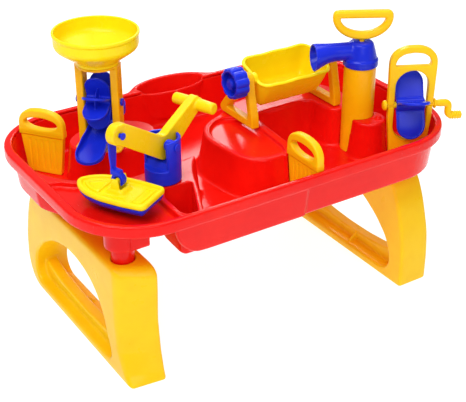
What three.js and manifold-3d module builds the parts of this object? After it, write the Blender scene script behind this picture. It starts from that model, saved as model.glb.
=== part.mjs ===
// Sand and water table: a moulded play tray on two arched end legs, with a sand mill,
// a toy crane with a hanging boat, a tipping bucket, a lift pump, a hand-cranked paddle
// wheel and two sluice gates. Millimetres, +Z up, ground at z = 0, +X along the tray.
import * as THREE from "three";
import {
  mergeVertices,
  toCreasedNormals,
} from "three/addons/utils/BufferGeometryUtils.js";
import Module from "manifold-3d";

const wasm = await Module();
wasm.setup();

// ---------------------------------------------------------------- driving dimensions
const GAP = 0.3; // clearance between separate pieces that touch
const RIM_L = 650; // tray length over the rim
const RIM_W = 412; // tray width over the rim, without the far cup
const RIM_TOP = 280;
const RIM_SKIRT = 262; // lower edge of the turned-down rim
const DECK = 276; // top of the platforms moulded into the tray
const FLOOR = 213; // basin floor, top face
const BASE = 210; // basin floor, underside
const WALL = 3;
const RECESS = 268; // floor of the shallow harbour under the boat
const LOCK = 213; // floor of the lock pocket beside the crane
const LEG_X = 280; // outer face of each leg
const LEG_T = 58; // leg frame width along X
const LEG_HALF = 184; // half the leg length along Y
const LEG_TOP = 188;
const BOSS = { x: 251, y: 117, r: 17, R: 26 };
const CUP = { x: 15, y: 206, rx: 62, ry: 26, floor: 225 };
const MILL = { x: -187, y: 60, axle: 350, r: 44, width: 38 };
const CRANE = { x: -164, y: -86, r: 26.6, top: 344, pivot: 333 };
const PUMP = { x: 213, y: -59, r: 25.5, top: 358.7 };
const TIPPER = { y: 4, z: 350, x0: 50, x1: 190 };
const WHEEL = { x: 263.5, y: -126, axle: 303, r: 56, width: 46 };
const GATE_R = { x: 36, y: -157, dir: [0, 1, 0] };
const GATE_L = { x: -251, y: 137.5, dir: [0.6, -0.8, 0] };

// ---------------------------------------------------------------- colours
const plastic = (color, roughness = 0.32) =>
  new THREE.MeshStandardMaterial({ color, roughness, metalness: 0 });
const RED = plastic("#d3150c", 0.28);
const GOLD = plastic("#f7b500");
const ORANGE = plastic("#f59a00");
const LEMON = plastic("#ffd90a");
const BLUE = plastic("#1b22b8");
const RUBBER = plastic("#2a2a2c", 0.75);

// ---------------------------------------------------------------- geometry helpers
const rad = Math.PI / 180;
const vec = (a) => new THREE.Vector3(a[0], a[1], a[2]);

// A closed triangle mesh as a solid, turned right side out.
function solid(geometry) {
  const flat = geometry.index ? geometry.toNonIndexed() : geometry;
  const bare = mergeVertices(
    new THREE.BufferGeometry().setAttribute(
      "position",
      flat.getAttribute("position").clone(),
    ),
    1e-4,
  );
  const p = bare.attributes.position.array;
  const tris = [];
  let volume = 0;
  for (let i = 0; i < bare.index.count; i += 3) {
    const [a, b, c] = [0, 1, 2].map((k) => bare.index.array[i + k]);
    if (a === b || b === c || a === c) continue;
    tris.push(a, b, c);
    const q = [a, b, c].map((k) => p.slice(k * 3, k * 3 + 3));
    volume +=
      q[0][0] * (q[1][1] * q[2][2] - q[1][2] * q[2][1]) +
      q[0][1] * (q[1][2] * q[2][0] - q[1][0] * q[2][2]) +
      q[0][2] * (q[1][0] * q[2][1] - q[1][1] * q[2][0]);
  }
  if (volume < 0)
    for (let i = 0; i < tris.length; i += 3)
      [tris[i + 1], tris[i + 2]] = [tris[i + 2], tris[i + 1]];
  return new wasm.Manifold(
    new wasm.Mesh({
      numProp: 3,
      vertProperties: new Float32Array(p),
      triVerts: new Uint32Array(tris),
    }),
  );
}
const join = (...s) => s.reduce((a, b) => a.add(b));
const cut = (a, ...s) => s.reduce((x, b) => x.subtract(b), a);
const common = (a, b) => a.intersect(b);

// Basis with columns U, V, U x V at a point.
function frameAt(o, U, V) {
  const u = vec(U).normalize(),
    v = vec(V).normalize(),
    w = new THREE.Vector3().crossVectors(u, v);
  return new THREE.Matrix4().makeBasis(u, v, w).setPosition(...o);
}
// A flat plate with its outline and holes in the plane of U and V, centred on o.
function plate(outline, holes, t, o, U, V, from = -t / 2) {
  const shape = new THREE.Shape(outline.map((p) => new THREE.Vector2(...p)));
  for (const h of holes)
    shape.holes.push(new THREE.Path(h.map((p) => new THREE.Vector2(...p))));
  const g = new THREE.ExtrudeGeometry(shape, {
    depth: t,
    bevelEnabled: false,
    curveSegments: 1,
  });
  g.translate(0, 0, from);
  return solid(g.applyMatrix4(frameAt(o, U, V)));
}
// An outline turned counter-clockwise.
const ccw = (poly) =>
  THREE.ShapeUtils.area(poly.map((p) => new THREE.Vector2(...p))) < 0
    ? [...poly].reverse()
    : poly;
// Stacked outlines with equal point counts, each [points, z], joined by walls and capped.
function loft(given) {
  const sections = given.map(([outline, z]) => [ccw(outline), z]);
  const n = sections[0][0].length;
  const P = [];
  const V = (i, j) => {
    const [x, y] = sections[i][0][j % n];
    return [x, y, sections[i][1]];
  };
  for (let i = 0; i + 1 < sections.length; i++)
    for (let j = 0; j < n; j++) {
      const [a, b, c, d] = [V(i, j), V(i, j + 1), V(i + 1, j + 1), V(i + 1, j)];
      P.push(...a, ...b, ...c, ...a, ...c, ...d);
    }
  for (const i of [0, sections.length - 1]) {
    const faces = THREE.ShapeUtils.triangulateShape(
      sections[i][0].map((p) => new THREE.Vector2(...p)),
      [],
    );
    for (const f of faces) {
      const k = i ? f : [f[0], f[2], f[1]];
      P.push(...V(i, k[0]), ...V(i, k[1]), ...V(i, k[2]));
    }
  }
  return new THREE.BufferGeometry().setAttribute(
    "position",
    new THREE.Float32BufferAttribute(P, 3),
  );
}
const lofted = (...sections) => solid(loft(sections));
// A turned solid about a vertical axis: profile of [radius, z] from axis to axis.
function turned(profile, x, y, seg = 24) {
  const g = new THREE.LatheGeometry(
    profile.map((p) => new THREE.Vector2(...p)),
    seg,
  );
  return solid(g.rotateX(Math.PI / 2).translate(x, y, 0));
}
const disc = (x, y, z0, z1, r0, r1 = r0, seg = 24) =>
  turned(
    [
      [0, z0],
      [r0, z0],
      [r1, z1],
      [0, z1],
    ],
    x,
    y,
    seg,
  );
// A turned solid about any axis through o: profile of [radius, distance along dir].
function turnedAlong(profile, o, dir, seg = 16) {
  const g = new THREE.LatheGeometry(
    profile.map((p) => new THREE.Vector2(...p)),
    seg,
  );
  const q = new THREE.Quaternion().setFromUnitVectors(
    new THREE.Vector3(0, 1, 0),
    vec(dir).normalize(),
  );
  return solid(g.applyQuaternion(q).translate(...o));
}
const rod = (o, dir, a, b, r, seg = 14) =>
  turnedAlong(
    [
      [0, a],
      [r, a],
      [r, b],
      [0, b],
    ],
    o,
    dir,
    seg,
  );
const block = (x0, x1, y0, y1, z0, z1) =>
  solid(
    new THREE.BoxGeometry(x1 - x0, y1 - y0, z1 - z0).translate(
      (x0 + x1) / 2,
      (y0 + y1) / 2,
      (z0 + z1) / 2,
    ),
  );
// A round bar of any radius along a smooth path.
function bar(points, r, steps, sides = 16) {
  const ring = Array.from({ length: sides }, (_, k) => {
    const t = (k / sides) * 2 * Math.PI;
    return new THREE.Vector2(r * Math.cos(t), r * Math.sin(t));
  });
  return solid(
    new THREE.ExtrudeGeometry(new THREE.Shape(ring), {
      steps,
      bevelEnabled: false,
      curveSegments: 1,
      extrudePath: new THREE.CatmullRomCurve3(points.map(vec), false, "centripetal"),
    }),
  );
}
const circle = (cx, cy, r, n = 24, from = 0, to = 360) =>
  Array.from({ length: to - from === 360 ? n : n + 1 }, (_, k) => {
    const t = (from + ((to - from) * k) / n) * rad;
    return [cx + r * Math.cos(t), cy + r * Math.sin(t)];
  });
const oval = (cx, cy, rx, ry, n = 40) =>
  Array.from({ length: n }, (_, k) => {
    const t = (k / n) * 2 * Math.PI;
    return [cx + rx * Math.cos(t), cy + ry * Math.sin(t)];
  });
// A rounded rectangle, counter-clockwise.
function pill(hl, hw, r, n = 6, cx = 0, cy = 0) {
  const out = [];
  [
    [1, 1, 0],
    [-1, 1, 90],
    [-1, -1, 180],
    [1, -1, 270],
  ].forEach(([sx, sy, a]) => {
    for (let k = 0; k <= n; k++) {
      const t = (a + (90 * k) / n) * rad;
      out.push([
        cx + sx * (hl - r) + r * Math.cos(t),
        cy + sy * (hw - r) + r * Math.sin(t),
      ]);
    }
  });
  return out;
}
function superoval(cx, cy, rx, ry, e, n) {
  return Array.from({ length: n }, (_, k) => {
    const t = (k / n) * 2 * Math.PI,
      c = Math.cos(t),
      s = Math.sin(t);
    return [
      cx + rx * Math.sign(c) * Math.abs(c) ** (2 / e),
      cy + ry * Math.sign(s) * Math.abs(s) ** (2 / e),
    ];
  });
}
// An outline moved outward by d.
function offset(given, d) {
  const poly = ccw(given);
  const n = poly.length;
  return poly.map((p, i) => {
    const a = poly[(i + n - 1) % n],
      b = poly[(i + 1) % n];
    const unit = (q, r) => {
      const l = Math.hypot(r[0] - q[0], r[1] - q[1]);
      return [(r[1] - q[1]) / l, -(r[0] - q[0]) / l];
    };
    const u = unit(a, p),
      v = unit(p, b),
      k = d / Math.max(0.45, 1 + u[0] * v[0] + u[1] * v[1]);
    return [p[0] + k * (u[0] + v[0]), p[1] + k * (u[1] + v[1])];
  });
}
// Corner cutting, once, to round an outline.
const eased = (poly) =>
  poly.flatMap((p, i) => {
    const q = poly[(i + 1) % poly.length];
    return [
      [p[0] * 0.78 + q[0] * 0.22, p[1] * 0.78 + q[1] * 0.22],
      [p[0] * 0.22 + q[0] * 0.78, p[1] * 0.22 + q[1] * 0.78],
    ];
  });

const assembly = new THREE.Group();
function node(name, manifold, material) {
  const m = manifold.getMesh(),
    v = new Float32Array(m.numVert * 3);
  for (let i = 0; i < m.numVert; i++)
    v.set(m.vertProperties.subarray(i * m.numProp, i * m.numProp + 3), i * 3);
  const g = new THREE.BufferGeometry()
    .setAttribute("position", new THREE.BufferAttribute(v, 3))
    .setIndex(new THREE.BufferAttribute(new Uint32Array(m.triVerts), 1));
  const mesh = new THREE.Mesh(toCreasedNormals(g, 0.6), material);
  mesh.name = name;
  assembly.add(mesh);
}

// ---------------------------------------------------------------- tray
const rimOuter = (d = 0) => pill(RIM_L / 2 - d, RIM_W / 2 - d, 112 - d);
const innerTop = pill(311, 196, 100);
const innerFloor = pill(303, 188, 90);
const wallTop = pill(314, 199, 103);
const wallBase = pill(306, 191, 93);

// Platforms rising from the basin floor to the deck, hollow from below.
// outline(d) is the outline at deck level grown by d.
function platform(outline, draft) {
  return {
    shape: lofted([outline(draft), FLOOR - 1], [outline(0), DECK]),
    hollow: lofted(
      [outline(draft - WALL), BASE - 2],
      [outline(-WALL), DECK - WALL],
    ),
  };
}
const landTop = [
  [-350, 45],
  [-312, 45],
  [-301, 19],
  [-288, -3],
  [-272, -21],
  [-206, -56],
  [-176, -54],
  [-160, -44],
  [-112, -50],
  [-84, -45],
  [-103, -67],
  [-117, -92],
  [-138, -142],
  [-165, -200],
  [-168, -240],
  [-350, -240],
];
const land = platform((d) => eased(offset(landTop, d)), 7);
const millBase = platform((d) => oval(-160, 80, 70 + d, 50 + d, 24), 8);
const harbourTop = [
  [236, 66],
  [214, 82],
  [178, 88],
  [74, 88],
  [46, 76],
  [26, 58],
  [-3, 47],
  [-26, 30],
  [-40, 2],
  [-42, -28],
  [-38, -56],
  [-33, -88],
  [-22, -106],
  [-8, -115],
  [12, -118],
  [36, -117],
  [50, -111],
  [56, -88],
  [62, -10],
  [68, 18],
  [82, 30],
  [168, 30],
  [182, 20],
  [186, -26],
  [200, -34],
  [226, -32],
  [240, -14],
  [244, 26],
];
const harbour = platform((d) => eased(offset(harbourTop, d)), 11);
const coneShape = disc(216, -84, FLOOR - 1, DECK, 33, 27, 24);
const coneHollow = disc(216, -84, BASE - 2, DECK - WALL, 30, 24, 24);
const pumpWell = disc(PUMP.x, PUMP.y, FLOOR, 300, PUMP.r + 0.8, PUMP.r + 0.8, 28);
const pumpWellSkin = disc(PUMP.x, PUMP.y, 200, 300, PUMP.r + 3.8, PUMP.r + 3.8, 28);

// Hand-wheel frame outline, also used to clear a slot for it in the pillar.
const WD = [0.894, -0.448, 0];
const wheelOutline = (d = 0) => [
  [-29 - d, FLOOR + GAP - d],
  [29 + d, FLOOR + GAP - d],
  [35 + d, 276],
  [36.5 + d, 303],
  [38 + d, 371],
  [37.4 + d, 380],
  [34 + d, 388.5],
  [26 + d, 396],
  [12, 401.5 + d],
  [-12, 401.5 + d],
  [-26 - d, 396],
  [-34 - d, 388.5],
  [-37.4 - d, 380],
  [-38 - d, 371],
  [-36.5 - d, 303],
  [-35 - d, 276],
];
const UP = [0, 0, 1];
const wheelO = [WHEEL.x, WHEEL.y, 0];
const wheelSlot = plate(wheelOutline(0.6), [], 13.4, wheelO, WD, UP);

const islands = cut(
  join(millBase.shape, harbour.shape, coneShape),
  pumpWell,
  wheelSlot,
).add(land.shape);
const hollows = cut(
  join(millBase.hollow, harbour.hollow, coneHollow),
  pumpWellSkin,
  plate(wheelOutline(3.6), [], 19.4, wheelO, WD, UP),
).add(land.hollow);

// Near wall of the channel and of the lock pocket, standing proud of the tray's side.
const slope = (y0, y1, x0, x1) =>
  lofted(
    [
      [
        [x0, y0],
        [x1, y0],
        [x1, y1],
        [x0, y1],
      ],
      BASE,
    ],
    [
      [
        [x0, y0 - 9],
        [x1, y0 - 9],
        [x1, y1 - 8.5],
        [x0, y1 - 8.5],
      ],
      270,
    ],
  );
const proud = common(
  plate(
    [
      [13, BASE],
      [14, 270],
      [-210, 270],
      [-208, 252],
      [-203, 240],
      [-196, 228],
      [-184, 217],
      [-172, 211.5],
      [-160, BASE],
    ],
    [],
    40,
    [0, -196, 0],
    [1, 0, 0],
    UP,
  ),
  slope(-194, -187, -215, 16),
);
const side = lofted([wallBase, BASE], [wallTop, DECK]);
const basin = lofted([innerFloor, FLOOR], [innerTop, DECK + 1], [innerTop, RIM_TOP + 2]);
let tub = join(side, common(slope(-194, -180, -164, 16), block(-164, 14, -210, -170, BASE, 270)));
tub = cut(tub, cut(lofted([innerFloor, FLOOR], [innerTop, DECK + 1]), islands), hollows);
tub = join(tub, proud);

// Rolled rim, with the cup that bulges out of its far side.
const cupRim = (d) => oval(CUP.x, CUP.y, CUP.rx + 9 - d, CUP.ry + 8 - d, 28);
const rimBody = (f, z0, r) =>
  lofted([f(r), z0], [f(r), RIM_TOP - 3.5], [f(r + 3), RIM_TOP]);
const rim = cut(
  join(rimBody(rimOuter, RIM_SKIRT, 0), rimBody(cupRim, RIM_SKIRT, 0)),
  cut(
    join(
      lofted([rimOuter(3), RIM_SKIRT - 1], [rimOuter(3), RIM_TOP - 5]),
      lofted([cupRim(3), RIM_SKIRT - 1], [cupRim(3), RIM_TOP - 5]),
    ),
    lofted([innerTop, 0], [innerTop, 300]),
  ),
  lofted([innerTop, 0], [innerTop, 300]),
);
const cupOval = (d, n = 28) => oval(CUP.x, CUP.y, CUP.rx + d, CUP.ry + d, n);
const cupBody = lofted([cupOval(-4), CUP.floor - 3], [cupOval(3.5), DECK + 1]);
const cupBore = lofted([cupOval(-8), CUP.floor], [cupOval(0), RIM_TOP + 1]);

// Shallow harbour recess, lock pocket and island tray, each a pan let into the deck.
const recessOutline = eased([
  [-345, -8],
  [-311, -10],
  [-295, -13],
  [-277, -31],
  [-208, -62],
  [-199, -76],
  [-197, -110],
  [-198, -134],
  [-200, -240],
  [-345, -240],
]);
const lockOutline = [
  [-176, -111],
  [-189, -134],
  [-191, -183],
  [-184, -192],
  [-170, -193],
  [-152, -155],
  [-133, -113],
  [-148, -112],
];
const trayOutline = eased([
  [18, 44],
  [-2, 36],
  [-19, 22],
  [-31, -2],
  [-33, -28],
  [-29, -56],
  [-24, -84],
  [-15, -99],
  [-4, -106],
  [14, -109],
  [36, -108],
  [43, -88],
  [49, -10],
  [46, 30],
]);
const pan = (outline, floor, clipIn, clipOut) => {
  let body = lofted([offset(outline, WALL), floor - WALL], [offset(outline, WALL), DECK]);
  let room = lofted([outline, floor], [outline, RIM_TOP + 2]);
  if (clipIn) {
    body = common(body, lofted([clipOut, 200], [clipOut, 300]));
    room = common(room, lofted([clipIn, 200], [clipIn, 300]));
  }
  return { body, room };
};
const recess = pan(recessOutline, RECESS, innerTop, wallTop);
const lock = {
  body: common(
    lofted([offset(lockOutline, WALL), BASE], [offset(lockOutline, WALL), DECK]),
    join(side, proud),
  ),
  room: common(lofted([lockOutline, LOCK], [lockOutline, RIM_TOP + 2]), basin),
};
const tray = pan(trayOutline, 269.5);

// Bosses that drop into the leg tops.
const bosses = [-1, 1].flatMap((sx) =>
  [-1, 1].map((sy) => {
    const lower = disc(sx * BOSS.x, sy * BOSS.y, 160.5, 212.5, BOSS.r, BOSS.r, 24);
    return sx < 0 && sy < 0
      ? join(
          lower,
          disc(sx * BOSS.x, sy * BOSS.y, 212, RECESS - 2, BOSS.R, BOSS.R, 24),
          block(-250, -222, -150, -120, 213, RECESS - 2),
        )
      : lower;
  }),
);
const bossBores = [-1, 1].flatMap((sx) =>
  [-1, 1].map((sy) =>
    disc(
      sx * BOSS.x,
      sy * BOSS.y,
      150,
      sx < 0 && sy < 0 ? RECESS - 4 : 209,
      13,
      13,
      16,
    ),
  ),
);
// Guide ribs that hold each gate upright at both of its edges.
const ribs = [];
for (const s of [-1, 1]) {
  const x = GATE_R.x + s * 8.2;
  ribs.push(
    plate(
      [
        [-190, FLOOR - 1],
        [-184, FLOOR - 1],
        [-191, DECK],
        [-197.5, DECK],
      ],
      [],
      3,
      [x, 0, 0],
      [0, 1, 0],
      UP,
    ),
    plate(
      [
        [-131.5, FLOOR - 1],
        [-112, FLOOR - 1],
        [-112, DECK],
        [-121.5, DECK],
      ],
      [],
      3,
      [x, 0, 0],
      [0, 1, 0],
      UP,
    ),
  );
}
tub = join(tub, lock.body, recess.body, tray.body, cupBody, rim, ...ribs);
tub = cut(tub, recess.room, lock.room, tray.room, cupBore);
tub = cut(join(tub, ...bosses), ...bossBores);
// The crane turns on a short spigot.
tub = join(tub, disc(CRANE.x, CRANE.y, DECK - 2, 294.5, 14, 13.6, 20));
tub = cut(tub, disc(CRANE.x, CRANE.y, 250, 291, 11, 11, 16));
// Small stud on the cone beside the pump.
tub = join(tub, disc(226, -96, DECK - 2, 280.6, 5.2, 3.4, 14));
// Only the main body is kept: slivers left where pans meet the wall are dropped.
tub = tub.decompose().sort((a, b) => b.volume() - a.volume())[0];
node("tub", tub, RED);

// ---------------------------------------------------------------- legs
// Outline and window in (distance from the oblique end, height). The right leg is the left
// one turned half round, so its oblique end is on the far side.
const legOutline = (corner) => [
  [0, 0],
  ...corner,
  [364, 93],
  [347, 149],
  [333, 177],
  [323, LEG_TOP],
  [36, LEG_TOP],
  [22, 184],
  [14, 174],
  [14, 152],
  [17, 98],
  [12, 48],
  [5, 16],
];
const legWindow = [
  [334, 47],
  [324, 75],
  [294, 104],
  [263, 124],
  [235, 135],
  [201, 143],
  [170, 143],
  [143, 138],
  [121, 129],
  [104, 116],
  [93, 102],
  [83, 82],
  [76, 59],
  [69, 43],
  [67, 28],
  [73, 18],
  [90, 15],
  [316, 15],
  [329, 21],
  [335, 34],
];
// Foot corner away from the oblique end: rounded on the left leg, square on the right.
const roundCorner = [
  [330, 0],
  [345, 6],
  [358, 18],
  [368, 44],
];
const squareCorner = [
  [364, 0],
  [368, 3],
  [368, 25],
  [368, 50],
];
// Ridge that stands on the foot bar under the window.
const legRidge = [
  [62, 12],
  [332, 12],
  [338, 48],
  [318, 43],
  [290, 37],
  [240, 32],
  [184, 31],
  [130, 34],
  [96, 41],
  [66, 52],
];
// Slant of the oblique end: height, distance of its edge on the outer and on the inner face.
const legSlant = [
  [-1, 3, -2],
  [16, 20, 4],
  [48, 37, 11],
  [98, 42, 16],
  [152, 41, 13],
  [176, 40, 13],
  [190, 46, 22],
];
for (const s of [-1, 1]) {
  const at = (x, y) => [-s * x, -s * y]; // (x, y) of the left leg, turned for the right one
  const run = (outline, holes, a, b) =>
    plate(outline, holes, b - a, [s * LEG_X, s * LEG_HALF, 0], [0, -s, 0], UP, a);
  const slant = (d) =>
    lofted(
      ...legSlant.map(([z, outer, inner]) => [
        [
          at(-LEG_X - 1, outer + d - LEG_HALF),
          at(-LEG_X + LEG_T + 1, inner + d - LEG_HALF),
          at(-LEG_X + LEG_T + 1, -LEG_HALF - 60),
          at(-LEG_X - 1, -LEG_HALF - 60),
        ],
        z,
      ]),
    );
  const outline = legOutline(s < 0 ? roundCorner : squareCorner);
  let leg = cut(run(outline, [legWindow], 0, LEG_T), slant(0));
  leg = cut(leg, cut(run(offset(outline, -4), [offset(legWindow, 4)], 4, LEG_T - 4), slant(4.6)));
  leg = join(leg, run(legRidge, [], 18, 37));
  const [rx, ry] = at(-1, 223 - LEG_HALF);
  leg = join(
    leg,
    plate(
      [
        [rx * 244, 13],
        [rx * 224, 13],
        [rx * 244, 31],
      ],
      [],
      3,
      [0, ry, 0],
      [1, 0, 0],
      UP,
    ),
  );
  for (const sy of [-1, 1]) {
    leg = leg.add(disc(s * BOSS.x, sy * BOSS.y, 156, LEG_TOP, 21, 21, 20));
    leg = leg.subtract(
      disc(s * BOSS.x, sy * BOSS.y, 160, LEG_TOP + 2, BOSS.r + 0.5, BOSS.r + 0.5, 24),
    );
    leg = leg.subtract(disc(s * BOSS.x, sy * BOSS.y, 150, 162, 5, 5, 12));
  }
  node(s < 0 ? "leg_left" : "leg_right", leg, GOLD);
}

// ---------------------------------------------------------------- sand mill
const MA = [Math.SQRT1_2, -Math.SQRT1_2, 0]; // axle direction
const MP = [Math.SQRT1_2, Math.SQRT1_2, 0]; // across the axle
const millO = [MILL.x, MILL.y, 0];
const along = (o, d, s, z) => [o[0] + d[0] * s, o[1] + d[1] * s, z];
const postOutline = [
  [-12, 279],
  [12, 279],
  [11, 300],
  [11, 410.2],
  [-11, 410.2],
  [-11, 300],
];
const millPosts = [-27, 27].map((w) =>
  plate(postOutline, [], 12, along(millO, MA, w, 0), MP, UP),
);
const millFoot = plate(
  pill(36, 26, 8, 4),
  [],
  3.7,
  [MILL.x, MILL.y, DECK + GAP],
  MA,
  MP,
  0,
);
// MA x MP points up, so plates in that plane extrude upward.
const millRing = plate(
  circle(0, 0, 31.5, 24),
  [circle(0, 0, 22, 16)],
  4.2,
  [MILL.x, MILL.y, 406],
  MA,
  MP,
  0,
);
const axleO = [MILL.x, MILL.y, MILL.axle];
node(
  "mill_frame",
  cut(join(millFoot, ...millPosts, millRing), rod(axleO, MA, -40, 40, 4.5, 20)),
  GOLD,
);
node(
  "mill_funnel",
  turned(
    [
      [8, 410.5],
      [32.5, 410.5],
      [32.5, 415],
      [62.5, 437],
      [62.5, 455],
      [64, 456],
      [64, 460],
      [60, 460],
      [59.6, 438.5],
      [30.5, 418],
      [8, 413.8],
      [8, 410.5],
    ],
    MILL.x,
    MILL.y,
    32,
  ),
  LEMON,
);
// A wheel of curved blades with rounded ends, cut from a star by a barrel-shaped envelope.
function bladeWheel(o, axis, count, phase, r, width, hub, bore, t, curl) {
  const a = vec(axis).normalize();
  const U = new THREE.Vector3().crossVectors(new THREE.Vector3(0, 0, 1), a).normalize();
  // U x Z = axis
  const Uv = [U.x, U.y, U.z].map((c) => c);
  const sgn = new THREE.Vector3().crossVectors(U, new THREE.Vector3(0, 0, 1)).dot(a);
  const blades = Array.from({ length: count }, (_, k) => {
    const th = (phase + (360 * k) / count) * rad;
    const line = [0.1, 0.55, 1].map((f) => {
      const b = th + curl * rad * (f * f - 0.3);
      return [r * 1.03 * f * Math.cos(b), r * 1.03 * f * Math.sin(b), b];
    });
    const side = (s) =>
      line.map(([x, y, b]) => [x - s * Math.sin(b) * (t / 2), y + s * Math.cos(b) * (t / 2)]);
    return plate([...side(-1), ...side(1).reverse()], [], width, o, Uv, UP);
  });
  const w = width / 2,
    core = r - w;
  const env = [[0, -w]];
  for (let k = 0; k <= 6; k++) {
    const f = -90 + 30 * k;
    env.push([Math.max(hub, core + w * Math.cos(f * rad)), w * Math.sin(f * rad)]);
  }
  env.push([0, w]);
  const star = join(
    ...blades,
    rod(o, axis, -w, w, hub, 14),
  );
  return cut(common(star, turnedAlong(env, o, axis, 24)), rod(o, axis, -w - 1, w + 1, bore, 12));
}
node(
  "mill_wheel",
  bladeWheel(axleO, MA, 8, 16, MILL.r, MILL.width, 9, 4.3, 2.6, 7),
  BLUE,
);
node(
  "mill_axle",
  join(rod(axleO, MA, -36.6, 36.6, 4, 20), rod(axleO, MA, -36.6, -33.5, 7, 20), rod(axleO, MA, 33.5, 36.6, 7, 20)),
  BLUE,
);
// Chute under the wheel: one slope, from a high far end down to a rounded tongue.
function chute() {
  const half = (q, c) =>
    Array.from({ length: 9 }, (_, k) => {
      const t = (-90 + (180 * k) / 8) * rad;
      return [q * (c + 22 * Math.cos(t)), q * 22 * Math.sin(t)];
    });
  const pts = [...half(1, 50), [21, 19.6], [-21, 19.6], ...half(-1, 58), [-21, -19.6], [21, -19.6]];
  const fall = (u) => 299.5 + 0.215 * u;
  const prism = (outline) =>
    plate(outline, [], 90, [MILL.x, MILL.y, 260], MP, MA.map((c) => -c), 0);
  const band = (z0, tops) =>
    plate(
      [
        [-90, fall(-90) + z0],
        [90, fall(90) + z0],
        ...tops.map(([u, d]) => [u, fall(u) + d]),
      ],
      [],
      70,
      millO,
      MP,
      UP,
    );
  const body = common(
    prism(pts),
    band(-2.6, [
      [90, 11],
      [-34, 11],
      [-74, 3],
      [-90, 3],
    ]),
  );
  const room = common(
    prism(offset(pts, -2.5)),
    band(0, [
      [90, 40],
      [-90, 40],
    ]),
  );
  const foot = common(
    plate(pill(15, 15, 3, 3), [], 40, [MILL.x, MILL.y, DECK + 4.3], MP, MA.map((c) => -c), 0),
    band(-60, [
      [90, -1],
      [-90, -1],
    ]),
  );
  return join(cut(body, room), foot);
}
node("mill_chute", chute(), BLUE);

// ---------------------------------------------------------------- crane
const J = [-0.9337, -0.358, 0]; // towards the jib head
const K = [0.358, -0.9337, 0]; // pivot axis
const craneO = [CRANE.x, CRANE.y, 0];
{
  let post = turned(
    [
      [0, DECK + GAP],
      [CRANE.r, DECK + GAP],
      [CRANE.r, CRANE.top - 3],
      [CRANE.r - 3, CRANE.top],
      [0, CRANE.top],
    ],
    CRANE.x,
    CRANE.y,
    36,
  );
  post = cut(
    post,
    disc(CRANE.x, CRANE.y, 270, 295, 14.5, 14.5, 28),
    // slot through which the jib passes, with a raised stop in its middle
    plate(
      [
        [-40, 299],
        [-14, 299],
        [-11, 308.2],
        [11, 308.2],
        [14, 299],
        [40, 299],
        [40, 360],
        [-40, 360],
      ],
      [],
      16,
      craneO,
      J,
      UP,
    ),
    // open front, through which the jib rises
    plate(
      [
        [14, 299],
        [40, 299],
        [40, 360],
        [14, 360],
      ],
      [],
      60,
      craneO,
      J,
      UP,
    ),
    rod([CRANE.x, CRANE.y, CRANE.pivot], K, -40, 40, 4.3, 20),
  );
  node("crane_post", post, BLUE);
}
const pivotO = [CRANE.x, CRANE.y, CRANE.pivot];
node(
  "crane_pivot_pin",
  join(rod(pivotO, K, -27.4, 27.4, 4, 20), rod(pivotO, K, 26.9, 28.8, 6, 20)),
  BLUE,
);
const jibHead = along(craneO, J, 93, 383);
const jibTail = along(craneO, J, -75, 367);
{
  // J x Z = (-y, x) turned: plate normal runs along the pivot axis.
  const outline = [
    [5, 309],
    [82, 361],
    [90, 366.5],
    ...circle(93, 383, 15, 8, -62, 90).slice(1),
    [82, 396.5],
    [6, 348],
    [-2, 347.4],
    [-10, 352],
    [-72, 381],
    [-78, 379],
    [-80, 372],
    [-78, 356],
    [-70, 352],
    [-22, 319],
    [-9, 311],
  ];
  let jib = plate(outline, [], 14, craneO, J, UP);
  jib = cut(jib, rod(pivotO, K, -20, 20, 4.3, 20), rod(jibHead, K, -20, 20, 3.4, 20));
  jib = join(jib, rod(jibTail, K, -36, 36, 9, 20));
  node("crane_jib", jib, LEMON);
}
node(
  "crane_hook_pin",
  join(rod(jibHead, K, -12.4, 12.4, 3, 16), rod(jibHead, K, 10.9, 12.9, 5, 16), rod(jibHead, K, -12.9, -10.9, 5, 16)),
  BLUE,
);
const BT = [0.86, 0.5103, 0]; // across the boat, along the tow bar
const BD = [-0.5103, 0.86, 0]; // towards the bow
const hookO = along(craneO, J, 93, 0);
{
  const strap = [
    ...circle(0, 383, 7.5, 10, 0, 180),
    [-7, 352],
    [-4.8, 331],
    [-4.8, 322],
    [4.8, 322],
    [4.8, 331],
    [7, 352],
  ];
  let hook = join(
    cut(
      plate(strap, [], 3, along(hookO, K, -9.2, 0), J, UP),
      rod(jibHead, K, -20, 20, 3.3, 16),
    ),
    block(-4.8, 4.8, -10.7, 4.5, 322, 330).transform([
      J[0], J[1], 0, 0, K[0], K[1], 0, 0, 0, 0, 1, 0, hookO[0], hookO[1], 0, 1,
    ]),
    plate(
      [...circle(0, 316, 10, 14, -55, 235), ...circle(0, 316, 4.4, 10, -55, 235).reverse()],
      [],
      9,
      hookO,
      BD,
      UP,
    ),
  );
  node("crane_hook", hook, BLUE);
}

// ---------------------------------------------------------------- boat
const boatO = [hookO[0] + BD[0] * 2, hookO[1] + BD[1] * 2, 0];
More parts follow.
